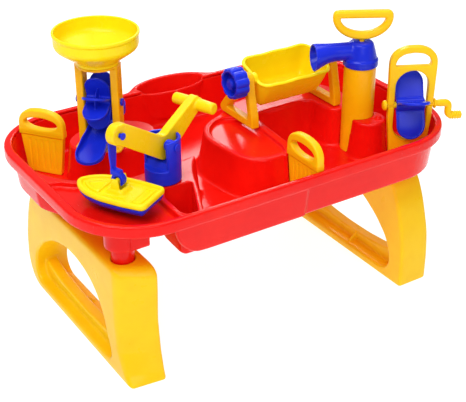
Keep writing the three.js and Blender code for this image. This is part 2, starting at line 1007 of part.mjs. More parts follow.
// Plan outline in (along the bow, across): square stern, full sides, rounded bow.
const boatPlan = (d) =>
  [
    [-59, -26],
    [-54, -32],
    [-22, -34.5],
    [14, -33.5],
    [40, -27],
    [57, -16],
    [68, 0],
    [57, 16],
    [40, 27],
    [14, 33.5],
    [-22, 34.5],
    [-54, 32],
    [-59, 26],
  ].map(([a, b]) => [a - (Math.sign(a) * d * Math.abs(a)) / 60, b - Math.sign(b) * Math.min(d, Math.abs(b))]);
const toBoat = (g, z = 0) =>
  g.applyMatrix4(frameAt([boatO[0], boatO[1], z], BD, BT.map((c) => -c)));
const hullShell = (d, z0, z1) => solid(toBoat(loft([[boatPlan(7.5 + d), z0], [boatPlan(3.4 + d), z0 + 6], [boatPlan(2 + d), z1]])));
node(
  "boat_hull",
  cut(hullShell(0, 281.6, 292.6), hullShell(2.2, 284, 296)),
  BLUE,
);
{
  const z0 = 292.6 + GAP;
  let deck = solid(toBoat(loft([[boatPlan(1), z0], [boatPlan(0), z0 + 4], [boatPlan(0), z0 + 8.4], [boatPlan(1.2), z0 + 9.4]])));
  deck = cut(deck, solid(toBoat(loft([[boatPlan(5), z0 + 4.4], [boatPlan(5), z0 + 12]]))));
  // plug that locates the deck in the hull
  deck = join(deck, solid(toBoat(loft([[boatPlan(9.5), z0 - 4], [boatPlan(9.5), z0 + 2]]))));
  // wheelhouse with two arms that carry the tow bar over a square well
  const house = solid(toBoat(loft([[[[-18, -16], [14, -16], [14, 16], [-18, 16]], z0 + 3], [[[-14, -13], [9, -13], [9, 13], [-14, 13]], z0 + 12]])));
  const well = solid(toBoat(loft([[[[-9, -8], [5, -8], [5, 8], [-9, 8]], z0 - 6], [[[-9, -8], [5, -8], [5, 8], [-9, 8]], z0 + 30]])));
  deck = cut(join(deck, house), well);
  const armsAt = [-1, 1].map((s) =>
    plate(
      [
        [-7, z0 + 10],
        [7, z0 + 10],
        [4, 318],
        [0, 320],
        [-4, 318],
      ],
      [],
      3,
      [hookO[0] + BT[0] * s * 10.5, hookO[1] + BT[1] * s * 10.5, 0],
      BD,
      UP,
    ),
  );
  deck = join(deck, ...armsAt, rod([hookO[0], hookO[1], 316], BT, -11, 11, 3, 14));
  node("boat_deck", deck, LEMON);
}

// ---------------------------------------------------------------- tipping bucket
const tipO = [0, TIPPER.y, TIPPER.z];
const bracketOutline = [
  [-22, DECK + GAP],
  [66, DECK + GAP],
  [72, 281],
  [71, 287],
  ...circle(TIPPER.y, TIPPER.z, 12, 9, 40, 188),
  [-11.4, 331],
  [-21.7, 291.3],
];
const bracketWindow = [
  [-9, 288],
  [50, 288],
  [51, 290],
  [8, 333],
  [1, 334],
  [-1, 330],
];
for (const [name, x0] of [
  ["tipper_bracket_left", 32],
  ["tipper_bracket_right", 194],
]) {
  const b = plate(bracketOutline, [bracketWindow], 14, [x0, 0, 0], [0, 1, 0], UP, 0);
  node(name, cut(b, rod([0, TIPPER.y, TIPPER.z], [1, 0, 0], x0 - 2, x0 + 16, 5.4, 24)), GOLD);
}
{
  const tilt = 19.6 * rad;
  // local axes: x along the axle, y across, z out of the mouth
  const m = new THREE.Matrix4()
    .makeBasis(
      vec([1, 0, 0]),
      vec([0, Math.cos(tilt), Math.sin(tilt)]),
      vec([0, -Math.sin(tilt), Math.cos(tilt)]),
    )
    .setPosition((TIPPER.x0 + TIPPER.x1) / 2, 11.5, 356.5);
  const L = (TIPPER.x1 - TIPPER.x0) / 2;
  const rim1 = (d) => pill(L - d, 38.6 - d, 20 - d / 2, 6);
  const mid = (d) => pill(L - 5 - d, 34 - d, 19 - d / 2, 6);
  const low = (d) => pill(L - 13 - d, 25 - d, 17 - d / 2, 6, 0, -1);
  const outer = solid(loft([[low(0), -56], [mid(0), -27], [rim1(3), -4], [rim1(0), -3], [rim1(0), 0]]).applyMatrix4(m));
  const inner = solid(loft([[low(3), -53], [mid(3), -27], [rim1(4.6), 1]]).applyMatrix4(m));
  const boss = join(
    rod(tipO, [1, 0, 0], TIPPER.x0 - 2.4, TIPPER.x0 + 12, 9, 24),
    rod(tipO, [1, 0, 0], TIPPER.x1 - 12, TIPPER.x1 + 2.4, 9, 24),
  );
  let bucket = cut(join(outer, boss), inner);
  bucket = join(
    bucket,
    rod(tipO, [1, 0, 0], 14, TIPPER.x0 + 5, 5, 24),
    rod(tipO, [1, 0, 0], TIPPER.x1 - 5, 207.4, 5, 24),
  );
  node("tipping_bucket", bucket, LEMON);
}
{
  // lobed knob pushed on the end of the bucket's axle, hollow in front
  const lobes = Array.from({ length: 60 }, (_, k) => {
    const t = (k / 60) * 2 * Math.PI;
    const r = 23.4 + 1.8 * Math.cos(10 * t);
    return [r * Math.cos(t), r * Math.sin(t)];
  });
  let knob = plate(lobes, [], 24, tipO, [0, 1, 0], UP, 6);
  knob = cut(
    knob,
    cut(plate(circle(0, 0, 19, 24), [], 15, tipO, [0, 1, 0], UP, 4), rod(tipO, [1, 0, 0], 0, 24, 8.4, 20)),
    rod(tipO, [1, 0, 0], 13.5, 40, 5.3, 24),
  );
  node("tipper_knob", knob, BLUE);
}

// ---------------------------------------------------------------- lift pump
{
  const { x, y } = PUMP;
  let barrel = cut(
    disc(x, y, FLOOR + GAP, PUMP.top, PUMP.r, PUMP.r, 28),
    disc(x, y, 226, 400, 22, 22, 28),
    disc(x, y, 200, 222, 22, 22, 28),
    disc(x, y, 200, 300, 7, 7, 20),
  );
  for (let k = 0; k < 4; k++) {
    const t = (20 + 90 * k) * rad;
    barrel = cut(
      barrel,
      plate(
        [
          [-6, 210],
          [6, 210],
          [6, 218],
          [3, 220],
          [-3, 220],
          [-6, 218],
        ],
        [],
        14,
        [x + 24 * Math.cos(t), y + 24 * Math.sin(t), 0],
        [-Math.sin(t), Math.cos(t), 0],
        UP,
      ),
    );
  }
  node("pump_barrel", barrel, ORANGE);
  node(
    "pump_foot_valve",
    join(disc(x, y, 226.3, 228.8, 13, 13, 24), disc(x, y, 218, 227, 3.4, 3.4, 14), disc(x, y, 216.4, 218.2, 5.4, 5.4, 14)),
    RUBBER,
  );
  node(
    "pump_piston",
    cut(
      turned(
        [
          [0, 236],
          [21, 236],
          [21, 239.5],
          [18, 239.5],
          [18, 243.5],
          [21, 243.5],
          [21, 247],
          [0, 247],
        ],
        x,
        y,
        24,
      ),
      ...[0, 1, 2, 3].map((k) =>
        disc(x + 12.5 * Math.cos(k * 90 * rad), y + 12.5 * Math.sin(k * 90 * rad), 230, 250, 3.4, 3.4, 8),
      ),
    ),
    BLUE,
  );
  node(
    "pump_seal",
    turned(
      [
        [18.3, 239.8],
        [21.5, 239.8],
        [21.5, 243.2],
        [18.3, 243.2],
        [18.3, 239.8],
      ],
      x,
      y,
      24,
    ),
    RUBBER,
  );
  node("pump_rod", disc(x, y, 247.3, 410, 4, 4, 16), GOLD);
  // head with its spout
  const S = [-0.935, 0.3546, 0];
  const headO = [x, y, 0];
  // Spout: a level tube that flares downward into a wide mouth. [distance, centre, radius]
  const flare = [
    [0, 383, 14.3],
    [44, 383, 14.4],
    [54, 382.2, 15.4],
    [63, 380.4, 17.6],
    [71, 378.4, 20],
    [78, 376.4, 22],
  ];
  const spout = (list) =>
    solid(
      loft(list.map(([u, c, r]) => [circle(0, c, r, 20), u])).applyMatrix4(
        frameAt(headO, [-S[1], S[0], 0], UP),
      ),
    );
  const outer = join(
    turned(
      [
        [0, 359],
        [28, 359],
        [28, 370],
        [25.5, 372.5],
        [19, 396],
        [15, 399],
        [0, 399],
      ],
      x,
      y,
      28,
    ),
    spout(flare),
  );
  const inner = join(
    turned(
      [
        [0, 350],
        [22, 350],
        [22, 369],
        [19.5, 372.5],
        [14, 395],
        [0, 395.5],
      ],
      x,
      y,
      28,
    ),
    spout([...flare.slice(0, 5), [80, 375.8, 22.6]].map(([u, c, r]) => [u, c, r - 2.7])),
    disc(x, y, 390, 402, 4.7, 4.7, 16),
  );
  node("pump_head", cut(outer, inner), BLUE);
  // handle
  const HU = [0.866, -0.5, 0];
  node(
    "pump_handle",
    cut(
      plate(
        [
          ...Array.from({ length: 17 }, (_, k) => {
            const t = (180 + (180 * k) / 16) * rad;
            return [47.5 * Math.cos(t), 438 + 36.6 * Math.sin(t)];
          }),
          [46, 446],
          [41, 449],
          [-41, 449],
          [-46, 446],
        ],
        [
          Array.from({ length: 13 }, (_, k) => {
            const t = (180 + (180 * k) / 12) * rad;
            return [35 * Math.cos(t), 436.5 + 22 * Math.sin(t)];
          }),
        ],
        13,
        headO,
        HU,
        UP,
      ),
      disc(x, y, 395, 410.5, 4.4, 4.4, 16),
    ),
    GOLD,
  );
}

// ---------------------------------------------------------------- hand wheel
const wheelAxis = [WHEEL.x, WHEEL.y, WHEEL.axle];
const stadium = (hw, c0, c1) => [...circle(0, c1, hw, 12, 0, 180), ...circle(0, c0, hw, 12, 180, 360)];
node(
  "wheel_frame",
  cut(
    plate(
      wheelOutline(),
      [
        stadium(26.5, 269.5, 335.5),
        [
          [-27, 369],
          [27, 369],
          [28.5, 374],
          [25, 383],
          [15, 389.5],
          [0, 391.5],
          [-15, 389.5],
          [-25, 383],
          [-28.5, 374],
        ],
      ],
      12,
      wheelO,
      WD,
      UP,
    ),
    rod(wheelAxis, WD, -45, 45, 5.4, 20),
  ),
  GOLD,
);
node(
  "paddle_wheel",
  bladeWheel(wheelAxis, WD, 4, 61, WHEEL.r, WHEEL.width, 10, 5.3, 3, 8),
  BLUE,
);
{
  const bendO = along(wheelAxis, WD, 63.5, WHEEL.axle);
  const gripO = along(wheelAxis, WD, 63.5, WHEEL.axle - 22);
  node(
    "crank",
    join(
      rod(wheelAxis, WD, -37, 66, 5, 20),
      rod(wheelAxis, WD, 38.4, 41, 8, 20),
      rod(bendO, [0, 0, -1], -3, 25, 4.8, 20),
      turnedAlong(
        [
          [0, -3.5],
          [5, -3.5],
          [5, 4],
          [6.9, 5],
          [6.9, 20],
          [5.6, 21.8],
          [0, 21.8],
        ],
        gripO,
        WD,
        20,
      ),
    ),
    GOLD,
  );
  node(
    "crank_end_cap",
    cut(
      turnedAlong(
        [
          [0, -44],
          [5.5, -44],
          [8, -42],
          [8, -38.3],
          [0, -38.3],
        ],
        wheelAxis,
        WD,
        20,
      ),
    ),
    GOLD,
  );
}

// ---------------------------------------------------------------- sluice gates
function gate(name, at) {
  const o = [at.x, at.y, 0];
  const body = [
    [-29, FLOOR + GAP],
    [29, FLOOR + GAP],
    [37, 278],
    [39, 292],
    [37.6, 303],
    [32, 312],
    [22, 318],
    [8, 320.5],
    [-8, 320.5],
    [-22, 318],
    [-32, 312],
    [-37.6, 303],
    [-39, 292],
    [-37, 278],
  ];
  const grip = oval(0, 298, 28.5, 10, 20);
  const collar = plate(
    [
      [-38.4, 277.5],
      [38.4, 277.5],
      [39, 287],
      [-39, 287],
    ],
    [],
    12.4,
    o,
    at.dir,
    UP,
  );
  node(name, join(plate(body, [grip], 9, o, at.dir, UP), collar), GOLD);
}
gate("gate_right", GATE_R);
gate("gate_left", GATE_L);

// ---------------------------------------------------------------- origin
// The origin is on the ground, under the centre of the whole table.
assembly.updateMatrixWorld(true);
const extent = new THREE.Box3().setFromObject(assembly);
assembly.position.set(
  -(extent.min.x + extent.max.x) / 2,
  -(extent.min.y + extent.max.y) / 2,
  -extent.min.z,
);
const group = new THREE.Group();
group.name = "sand_and_water_table";
group.add(assembly);

export default group;
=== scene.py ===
"""Sand and water table: the looks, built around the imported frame.

Every piece is a closed moulded shell or solid. Its surface is made from a distance field on a
fine grid, so walls meet in real fillets as they do on moulded plastic, or it is turned from a
filleted profile. Sizes are in the part's own millimetres and are moved onto the frame at the end.
"""
import bpy
import math
import numpy as np
import openvdb as vdb
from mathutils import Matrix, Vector


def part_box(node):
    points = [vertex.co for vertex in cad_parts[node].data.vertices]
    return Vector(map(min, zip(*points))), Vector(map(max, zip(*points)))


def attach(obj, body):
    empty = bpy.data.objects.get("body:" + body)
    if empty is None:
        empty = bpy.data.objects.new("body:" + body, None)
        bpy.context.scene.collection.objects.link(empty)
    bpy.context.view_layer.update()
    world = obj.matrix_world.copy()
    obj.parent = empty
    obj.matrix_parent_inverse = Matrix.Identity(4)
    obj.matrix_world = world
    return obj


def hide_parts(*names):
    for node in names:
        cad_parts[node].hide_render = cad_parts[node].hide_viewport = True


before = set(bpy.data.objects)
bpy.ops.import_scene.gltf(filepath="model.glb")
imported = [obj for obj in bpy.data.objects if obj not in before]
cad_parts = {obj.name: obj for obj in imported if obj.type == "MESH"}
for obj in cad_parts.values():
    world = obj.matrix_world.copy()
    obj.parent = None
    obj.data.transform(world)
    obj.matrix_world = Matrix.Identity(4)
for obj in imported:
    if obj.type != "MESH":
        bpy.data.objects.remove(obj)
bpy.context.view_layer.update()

# The part's own origin in the frame, from the funnel, which is turned about (-187, 60).
_lo, _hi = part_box("mill_funnel")
SHIFT = np.array([(_lo.x + _hi.x) * 500 + 187.0, (_lo.y + _hi.y) * 500 - 60.0, 0.0])
F = np.float32
Z = np.array([0.0, 0.0, 1.0])


def unit(v):
    v = np.array(v, float)
    return v / np.linalg.norm(v)


# ------------------------------------------------------------------ outlines
def rounded(poly, r=4.0, n=5):
    """Each corner replaced by a curve that starts about r from it."""
    P = np.array(poly, float)
    out = []
    m = len(P)
    rs = r if hasattr(r, "__len__") else [r] * m
    for i in range(m):
        a, p, b = P[i - 1], P[i], P[(i + 1) % m]
        la, lb = np.linalg.norm(a - p), np.linalg.norm(b - p)
        if la < 1e-6 or lb < 1e-6:
            continue
        t = min(rs[i], 0.49 * la, 0.49 * lb)
        A, B = p + (a - p) / la * t, p + (b - p) / lb * t
        for k in range(n + 1):
            s = k / n
            out.append((1 - s) ** 2 * A + 2 * s * (1 - s) * p + s * s * B)
    return np.array(out)


def pill(hl, hw, r, n=14, cx=0.0, cy=0.0):
    out = []
    for sx, sy, a in ((1, 1, 0), (-1, 1, 90), (-1, -1, 180), (1, -1, 270)):
        for k in range(n + 1):
            t = math.radians(a + 90 * k / n)
            out.append((cx + sx * (hl - r) + r * math.cos(t), cy + sy * (hw - r) + r * math.sin(t)))
    return np.array(out)


def oval(cx, cy, rx, ry, n=72):
    t = np.linspace(0, 2 * np.pi, n, endpoint=False)
    return np.c_[cx + rx * np.cos(t), cy + ry * np.sin(t)]


def superoval(cx, cy, rx, ry, e, n=96):
    t = np.linspace(0, 2 * np.pi, n, endpoint=False)
    c, s = np.cos(t), np.sin(t)
    return np.c_[cx + rx * np.sign(c) * np.abs(c) ** (2 / e), cy + ry * np.sign(s) * np.abs(s) ** (2 / e)]


def arc(cx, cy, r, a0, a1, n=16):
    t = np.radians(np.linspace(a0, a1, n + 1))
    return [(cx + r * math.cos(k), cy + r * math.sin(k)) for k in t]


# ------------------------------------------------------------------ distance fields
def rmax(a, b, r):
    """Common part of two solids, with its new edge rounded to radius r."""
    if r <= 0:
        return np.maximum(a, b)
    return np.minimum(np.maximum(a, b), F(-r)) + np.hypot(np.maximum(a + F(r), 0), np.maximum(b + F(r), 0))


def rmin(a, b, r):
    """Union of two solids, with a fillet of radius r where they meet."""
    return -rmax(-a, -b, r)


def poly2(P, X, Y):
    """Signed distance to a closed outline, negative inside."""
    P = np.asarray(P, F)
    X, Y = np.broadcast_arrays(np.asarray(X, F), np.asarray(Y, F))
    d = np.full(X.shape, 1e9, F)
    inside = np.zeros(X.shape, bool)
    for a, b in zip(P, np.roll(P, -1, 0)):
        ex, ey = b - a
        ll = ex * ex + ey * ey
        if ll < 1e-9:
            continue
        wx, wy = X - a[0], Y - a[1]
        t = np.clip((wx * ex + wy * ey) / ll, 0, 1)
        d = np.minimum(d, (wx - ex * t) ** 2 + (wy - ey * t) ** 2)
        if a[1] != b[1]:
            inside ^= ((a[1] > Y) != (b[1] > Y)) & (X < ex * (Y - a[1]) / ey + a[0])
    d = np.sqrt(d)
    return np.where(inside, -d, d).astype(F)


def line2(P, X, Y):
    """Distance to an open line of points."""
    P = np.asarray(P, F)
    X, Y = np.broadcast_arrays(np.asarray(X, F), np.asarray(Y, F))
    d = np.full(X.shape, 1e9, F)
    for a, b in zip(P[:-1], P[1:]):
        ex, ey = b - a
        wx, wy = X - a[0], Y - a[1]
        t = np.clip((wx * ex + wy * ey) / max(ex * ex + ey * ey, 1e-9), 0, 1)
        d = np.minimum(d, (wx - ex * t) ** 2 + (wy - ey * t) ** 2)
    return np.sqrt(d)


def slab(z, z0, z1):
    return (np.abs(z - F((z0 + z1) / 2)) - F((z1 - z0) / 2)).astype(F)


def boxf(x, y, z, c, half, r=0.0):
    q = [np.abs(v - F(c[i])) - F(half[i] - r) for i, v in enumerate((x, y, z))]
    outside = np.sqrt(sum(np.maximum(v, 0) ** 2 for v in q))
    return outside + np.minimum(np.maximum(np.maximum(q[0], q[1]), q[2]), 0) - F(r)


def blend_z(fields, zs, z):
    """A field whose outline changes with height: one outline field at each level."""
    out = None
    for i in range(len(zs) - 1):
        t = np.clip((z - zs[i]) / (zs[i + 1] - zs[i]), 0, 1).astype(F)
        seg = fields[i] * (1 - t) + fields[i + 1] * t
        out = seg if out is None else np.where(z > zs[i], seg, out)
    return out


class Grid:
    """A block of sample points in a piece's own axes: o + u U + v V + w W, in millimetres."""

    def __init__(self, lo, hi, h, o=(0, 0, 0), U=(1, 0, 0), V=(0, 1, 0)):
        lo = np.array(lo, float) - 3.5 * h
        n = np.ceil((np.array(hi, float) + 3.5 * h - lo) / h).astype(int) + 1
        self.lo, self.h, self.n = lo, float(h), n
        ax = [(lo[i] + h * np.arange(n[i])).astype(F) for i in range(3)]
        self.x, self.y, self.z = ax[0][:, None, None], ax[1][None, :, None], ax[2][None, None, :]
        U, V = unit(U), unit(V)
        self.R = np.c_[U, V, np.cross(U, V)]
        self.o = np.array(o, float)

    def flat(self, P):
        return poly2(P, self.x, self.y)


def sample(f, p):
    i = np.clip(np.floor(p).astype(np.int64), 0, np.array(f.shape) - 2)
    t = (p - i).astype(F)
    out = np.zeros(len(p), F)
    for a in (0, 1):
        wa = t[:, 0] if a else 1 - t[:, 0]
        for b in (0, 1):
            wb = t[:, 1] if b else 1 - t[:, 1]
            for c in (0, 1):
                wc = t[:, 2] if c else 1 - t[:, 2]
                out += wa * wb * wc * f[i[:, 0] + a, i[:, 1] + b, i[:, 2] + c]
    return out


def slope(f, p, e):
    g = np.empty((len(p), 3), F)
    for k in range(3):
        d = np.zeros(3)
        d[k] = e
        g[:, k] = sample(f, p + d) - sample(f, p - d)
    return g / (2 * e)


def mesh_object(name, P, N, faces4, faces3):
    """A smooth mesh with exact normals, in metres in the frame."""
    me = bpy.data.meshes.new(name)
    co = ((P + SHIFT) * 0.001).astype(F)
    loops = np.concatenate([faces4.ravel(), faces3.ravel()]).astype(np.int32)
    starts = np.concatenate([np.arange(len(faces4)) * 4, len(faces4) * 4 + np.arange(len(faces3)) * 3]).astype(np.int32)
    me.vertices.add(len(co))
    me.vertices.foreach_set("co", co.ravel())
    me.loops.add(len(loops))
    me.loops.foreach_set("vertex_index", loops)
    me.polygons.add(len(starts))
    me.polygons.foreach_set("loop_start", starts)
    me.polygons.foreach_set("use_smooth", np.ones(len(starts), bool))
    me.update(calc_edges=True)
    if N is not None:
        me.normals_split_custom_set_from_vertices(N.astype(float).tolist())
    ob = bpy.data.objects.new(name, me)
    bpy.context.scene.collection.objects.link(ob)
    return ob


FACES = {}


def place(ob, body, nodes, mat):
    ob.data.materials.append(mat)
    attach(ob, body)
    if nodes:
        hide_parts(*nodes)
    FACES[ob.name] = len(ob.data.polygons)
    return ob


def skin(name, g, f, body, nodes, mat, adapt=0.0):
    """The surface where the field is zero, with normals read from the field itself."""
    f = np.ascontiguousarray(np.broadcast_to(f, tuple(g.n)), dtype=F)
    grid = vdb.FloatGrid(3.0)
    grid.copyFromArray(np.clip(f / F(g.h), -3, 3).astype(F), tolerance=0.0)
    pts, tris, quads = grid.convertToPolygons(isovalue=0.0, adaptivity=adapt)
    p = np.asarray(pts, float)
    tris, quads = np.asarray(tris, np.int64).reshape(-1, 3), np.asarray(quads, np.int64).reshape(-1, 4)
    for _ in range(2):  # settle every point on the surface
        s = slope(f, p, 0.5)
        m = np.maximum((s ** 2).sum(1), 0.09)
        step = (sample(f, p) / m)[:, None] * s
        p = p - np.clip(step, -0.35, 0.35)
    s = slope(f, p, 0.6)
    N = s / np.maximum(np.linalg.norm(s, axis=1), 1e-6)[:, None]
    probe = quads if len(quads) else tris
    a, b, c = (p[probe[:, k]] for k in range(3))
    if (np.cross(b - a, c - a) * N[probe[:, 0]]).sum() < 0:
        tris, quads = tris[:, ::-1], quads[:, ::-1]
    P = g.o + (g.lo + g.h * p) @ g.R.T
    return place(mesh_object(name, P, N @ g.R.T, quads, tris), body, nodes, mat)


def turned(name, profile, o, axis, body, nodes, mat, seg=96, ribs=None):
    """A turned piece. profile: (radius, distance along the axis, fillet) from axis to axis,
    with the solid on the left of the direction of travel."""
    P = np.array([q[:2] for q in profile], float)
    fil = [q[2] if len(q) > 2 else 0.6 for q in profile]
    pts, nor = [], []
    m = len(P)
    for i in range(m):
        p = P[i]
        if i in (0, m - 1):
            b = P[1] - P[0] if i == 0 else P[-1] - P[-2]
            pts.append(p); nor.append((b[1], -b[0])); continue
        a, b = P[i - 1], P[i + 1]
        la, lb = max(np.linalg.norm(a - p), 1e-9), max(np.linalg.norm(b - p), 1e-9)
        t = min(fil[i], 0.49 * la, 0.49 * lb)
        A, B = p + (a - p) / la * t, p + (b - p) / lb * t
        for k in range(6):
            s = k / 5
            pts.append((1 - s) ** 2 * A + 2 * s * (1 - s) * p + s * s * B)
            d = 2 * (1 - s) * (p - A) + 2 * s * (B - p)
            nor.append((d[1], -d[0]))
    pts, nor = np.array(pts), np.array(nor)
    nor = nor / np.maximum(np.linalg.norm(nor, axis=1), 1e-9)[:, None]
    W = unit(axis)
    U = unit(np.cross(Z, W)) if abs(W[2]) < 0.9 else np.array([1.0, 0, 0])
    V = np.cross(W, U)
    t = np.linspace(0, 2 * np.pi, seg, endpoint=False)
    ring = np.cos(t)[:, None] * U + np.sin(t)[:, None] * V
    verts, norms, faces4, faces3, rows = [], [], [], [], []
    for k, (r, z) in enumerate(pts):
        if r < 1e-6:
            rows.append([len(verts)])
            verts.append(np.array(o, float) + W * z)
            norms.append(W * nor[k][1])
        else:
            rows.append(list(range(len(verts), len(verts) + seg)))
            rr = r if ribs is None else r + ribs(r, z, t)
            verts += list(np.array(o, float) + ring * (rr[:, None] if ribs is not None else rr) + W * z)
            norms += list(ring * nor[k][0] + W * nor[k][1])
    for a, b in zip(rows[:-1], rows[1:]):
        for j in range(seg):
            q = (j + 1) % seg
            if len(a) == 1 and len(b) > 1:
                faces3.append((a[0], b[q], b[j]))
            elif len(b) == 1 and len(a) > 1:
                faces3.append((a[j], a[q], b[0]))
            elif len(a) > 1:
                faces4.append((a[j], a[q], b[q], b[j]))
    ob = mesh_object(name, np.array(verts), np.array(norms), np.array(faces4).reshape(-1, 4), np.array(faces3).reshape(-1, 3))
    return place(ob, body, nodes, mat)


# ------------------------------------------------------------------ materials
def plastic(name, base, light, deep, rough=0.24, bump=0.05, sss=0.0, specular=0.22, wear=0.8, grain=2600.0):
    """Glossy injection-moulded plastic: slow colour drift from the melt, faint orange peel,
    fine scuffs that catch the light, and duller patches scattered at random."""
    m = bpy.data.materials.new(name)
    m.use_nodes = True
    nt = m.node_tree
    nt.nodes.clear()
    N, L = nt.nodes.new, nt.links.new
    out = N("ShaderNodeOutputMaterial")
    b = N("ShaderNodeBsdfPrincipled")
    L(b.outputs[0], out.inputs[0])
    b.inputs["IOR"].default_value = 1.47
    b.inputs["Specular IOR Level"].default_value = specular
    if sss:
        b.inputs["Subsurface Weight"].default_value = sss
        b.inputs["Subsurface Radius"].default_value = (0.004, 0.0022, 0.0012)
        b.inputs["Subsurface Scale"].default_value = 1.0
    tc = N("ShaderNodeTexCoord")

    def noise(scale, detail, rough_, vec=None):
        n = N("ShaderNodeTexNoise")
        n.inputs["Scale"].default_value = scale
        n.inputs["Detail"].default_value = detail
        n.inputs["Roughness"].default_value = rough_
        L(vec or tc.outputs["Object"], n.inputs["Vector"])
        return n.outputs["Fac"]

    def ramp(fac, a, b_, ca=0.0, cb=1.0):
        r = N("ShaderNodeMapRange")
        r.inputs["From Min"].default_value, r.inputs["From Max"].default_value = a, b_
        r.inputs["To Min"].default_value, r.inputs["To Max"].default_value = ca, cb
        L(fac, r.inputs["Value"])
        return r.outputs[0]

    def mix(fac, c1, c2):
        x = N("ShaderNodeMix")
        x.data_type = "RGBA"
        for s, c in ((x.inputs["A"], c1), (x.inputs["B"], c2)):
            if hasattr(c, "links"):
                L(c, s)
            else:
                s.default_value = (*c, 1)
        if hasattr(fac, "links"):
            L(fac, x.inputs["Factor"])
        else:
            x.inputs["Factor"].default_value = fac
        return x.outputs["Result"]

    def math_(op, a, c):
        x = N("ShaderNodeMath")
        x.operation = op
        for s, v in zip(x.inputs, (a, c)):
            if hasattr(v, "links"):
                L(v, s)
            else:
                s.default_value = v
        return x.outputs[0]

    drift = ramp(noise(9.0, 3.0, 0.5), 0.35, 0.65)
    swirl = ramp(noise(42.0, 4.0, 0.55), 0.42, 0.72)
    colour = mix(drift, base, light)
    colour = mix(math_("MULTIPLY", swirl, 0.35), colour, deep)
    # scuffs: stretched noise in two directions, thresholded to thin streaks
    streaks = []
    for k, (sc, rot) in enumerate((((900, 60, 300), 0.5), ((70, 1000, 260), -0.8))):
        mp = N("ShaderNodeMapping")
        mp.inputs["Scale"].default_value = sc
        mp.inputs["Rotation"].default_value = (0.3 * k, 0.2, rot)
        L(tc.outputs["Object"], mp.inputs["Vector"])
        streaks.append(ramp(noise(1.0, 2.0, 0.6, mp.outputs[0]), 0.66, 0.74))
    patch = ramp(noise(16.0, 2.0, 0.5), 0.48, 0.66)
    scuff = math_("MULTIPLY", math_("MAXIMUM", streaks[0], streaks[1]), patch)
    colour = mix(math_("MULTIPLY", scuff, 0.10 * wear), colour, tuple(min(1, c * 0.6 + 0.35) for c in light))
    L(colour, b.inputs["Base Color"])
    # roughness: smooth mould finish, duller patches, scuffs
    r0 = ramp(noise(22.0, 3.0, 0.6), 0.3, 0.7, rough - 0.035, rough + 0.05)
    r1 = math_("ADD", r0, math_("MULTIPLY", scuff, 0.22 * wear))
    L(r1, b.inputs["Roughness"])
    # bump: orange peel, micro grain and the scuffs
    peel = noise(260.0, 2.0, 0.5)
    micro = noise(grain, 1.0, 0.5)
    h = math_("ADD", math_("MULTIPLY", peel, 0.7), math_("MULTIPLY", micro, 0.3))
    h = math_("SUBTRACT", h, math_("MULTIPLY", scuff, 0.6 * wear))
    bp = N("ShaderNodeBump")
    bp.inputs["Strength"].default_value = bump
    bp.inputs["Distance"].default_value = 0.0006
    L(h, bp.inputs["Height"])
    L(bp.outputs[0], b.inputs["Normal"])
    return m


M = {
    "red": plastic("tray_red", (0.83, 0.005, 0.003), (0.87, 0.009, 0.004), (0.72, 0.003, 0.002), 0.18, 0.045, sss=0.03),
    "leg": plastic("leg_yellow", (0.93, 0.55, 0.003), (0.95, 0.60, 0.005), (0.89, 0.48, 0.002), 0.30, 0.06, sss=0.05),
    "deep": plastic("deep_yellow", (0.93, 0.48, 0.002), (0.95, 0.53, 0.004), (0.87, 0.40, 0.002), 0.27, 0.05, sss=0.05),
    "arm": plastic("jib_yellow", (0.93, 0.60, 0.003), (0.95, 0.65, 0.005), (0.90, 0.52, 0.002), 0.25, 0.045, sss=0.05),
    "lemon": plastic("lemon_yellow", (0.93, 0.70, 0.004), (0.95, 0.75, 0.006), (0.91, 0.62, 0.003), 0.25, 0.045, sss=0.05),
    "blue": plastic("royal_blue", (0.008, 0.023, 0.62), (0.012, 0.032, 0.70), (0.005, 0.014, 0.50), 0.20, 0.045, sss=0.02),
    "rubber": plastic("seal_rubber", (0.020, 0.020, 0.022), (0.032, 0.032, 0.034), (0.012, 0.012, 0.013), 0.62, 0.25, specular=0.3, wear=0.6, grain=1400),
}

# ------------------------------------------------------------------ shared sizes
RIM_TOP, RIM_SKIRT, DECK, FLOOR, BASE = 280.0, 262.0, 276.0, 213.0, 210.0
WALLV = 4.0
RECESS, LOCK = 268.0, 213.0
PUMP = (213.0, -59.0)
CRANE = (-164.0, -86.0)
MILL = (-187.0, 60.0)
WHEEL = np.array([263.5, -126.0, 303.0])
GRIP_END = 85.1
WD, WN = unit((0.894, -0.448, 0)), unit((-0.448, -0.894, 0))
MA, MP = unit((1, -1, 0)), unit((1, 1, 0))
J, K = unit((-0.9337, -0.358, 0)), unit((0.358, -0.9337, 0))
FARSIDE = -float(np.cross(Z, J) @ K)
BT, BD = unit((0.86, 0.5103, 0)), unit((-0.5103, 0.86, 0))
S = unit((-0.935, 0.3546, 0))

land_line = [(-350, 45), (-312, 45), (-301, 19), (-288, -3), (-272, -21), (-206, -56), (-176, -54), (-160, -44), (-112, -50), (-84, -45),
             (-103, -67), (-117, -92), (-138, -142), (-165, -200), (-168, -240), (-350, -240)]
harbour_line = [(236, 66), (214, 82), (178, 88), (74, 88), (46, 76), (26, 58), (-3, 47), (-26, 30), (-40, 2), (-42, -28), (-38, -56), (-33, -88),
                (-22, -106), (-8, -115), (12, -118), (36, -117), (50, -111), (56, -88), (62, -10), (68, 18), (82, 30), (168, 30), (182, 20),
                (186, -26), (200, -34), (226, -32), (240, -14), (244, 26)]
recess_line = [(-345, -8), (-311, -10), (-295, -13), (-277, -31), (-208, -62), (-199, -76), (-197, -110), (-198, -134), (-200, -240), (-345, -240)]
lock_line = [(-176, -111), (-189, -134), (-191, -183), (-184, -192), (-170, -193), (-152, -155), (-133, -113), (-148, -112)]
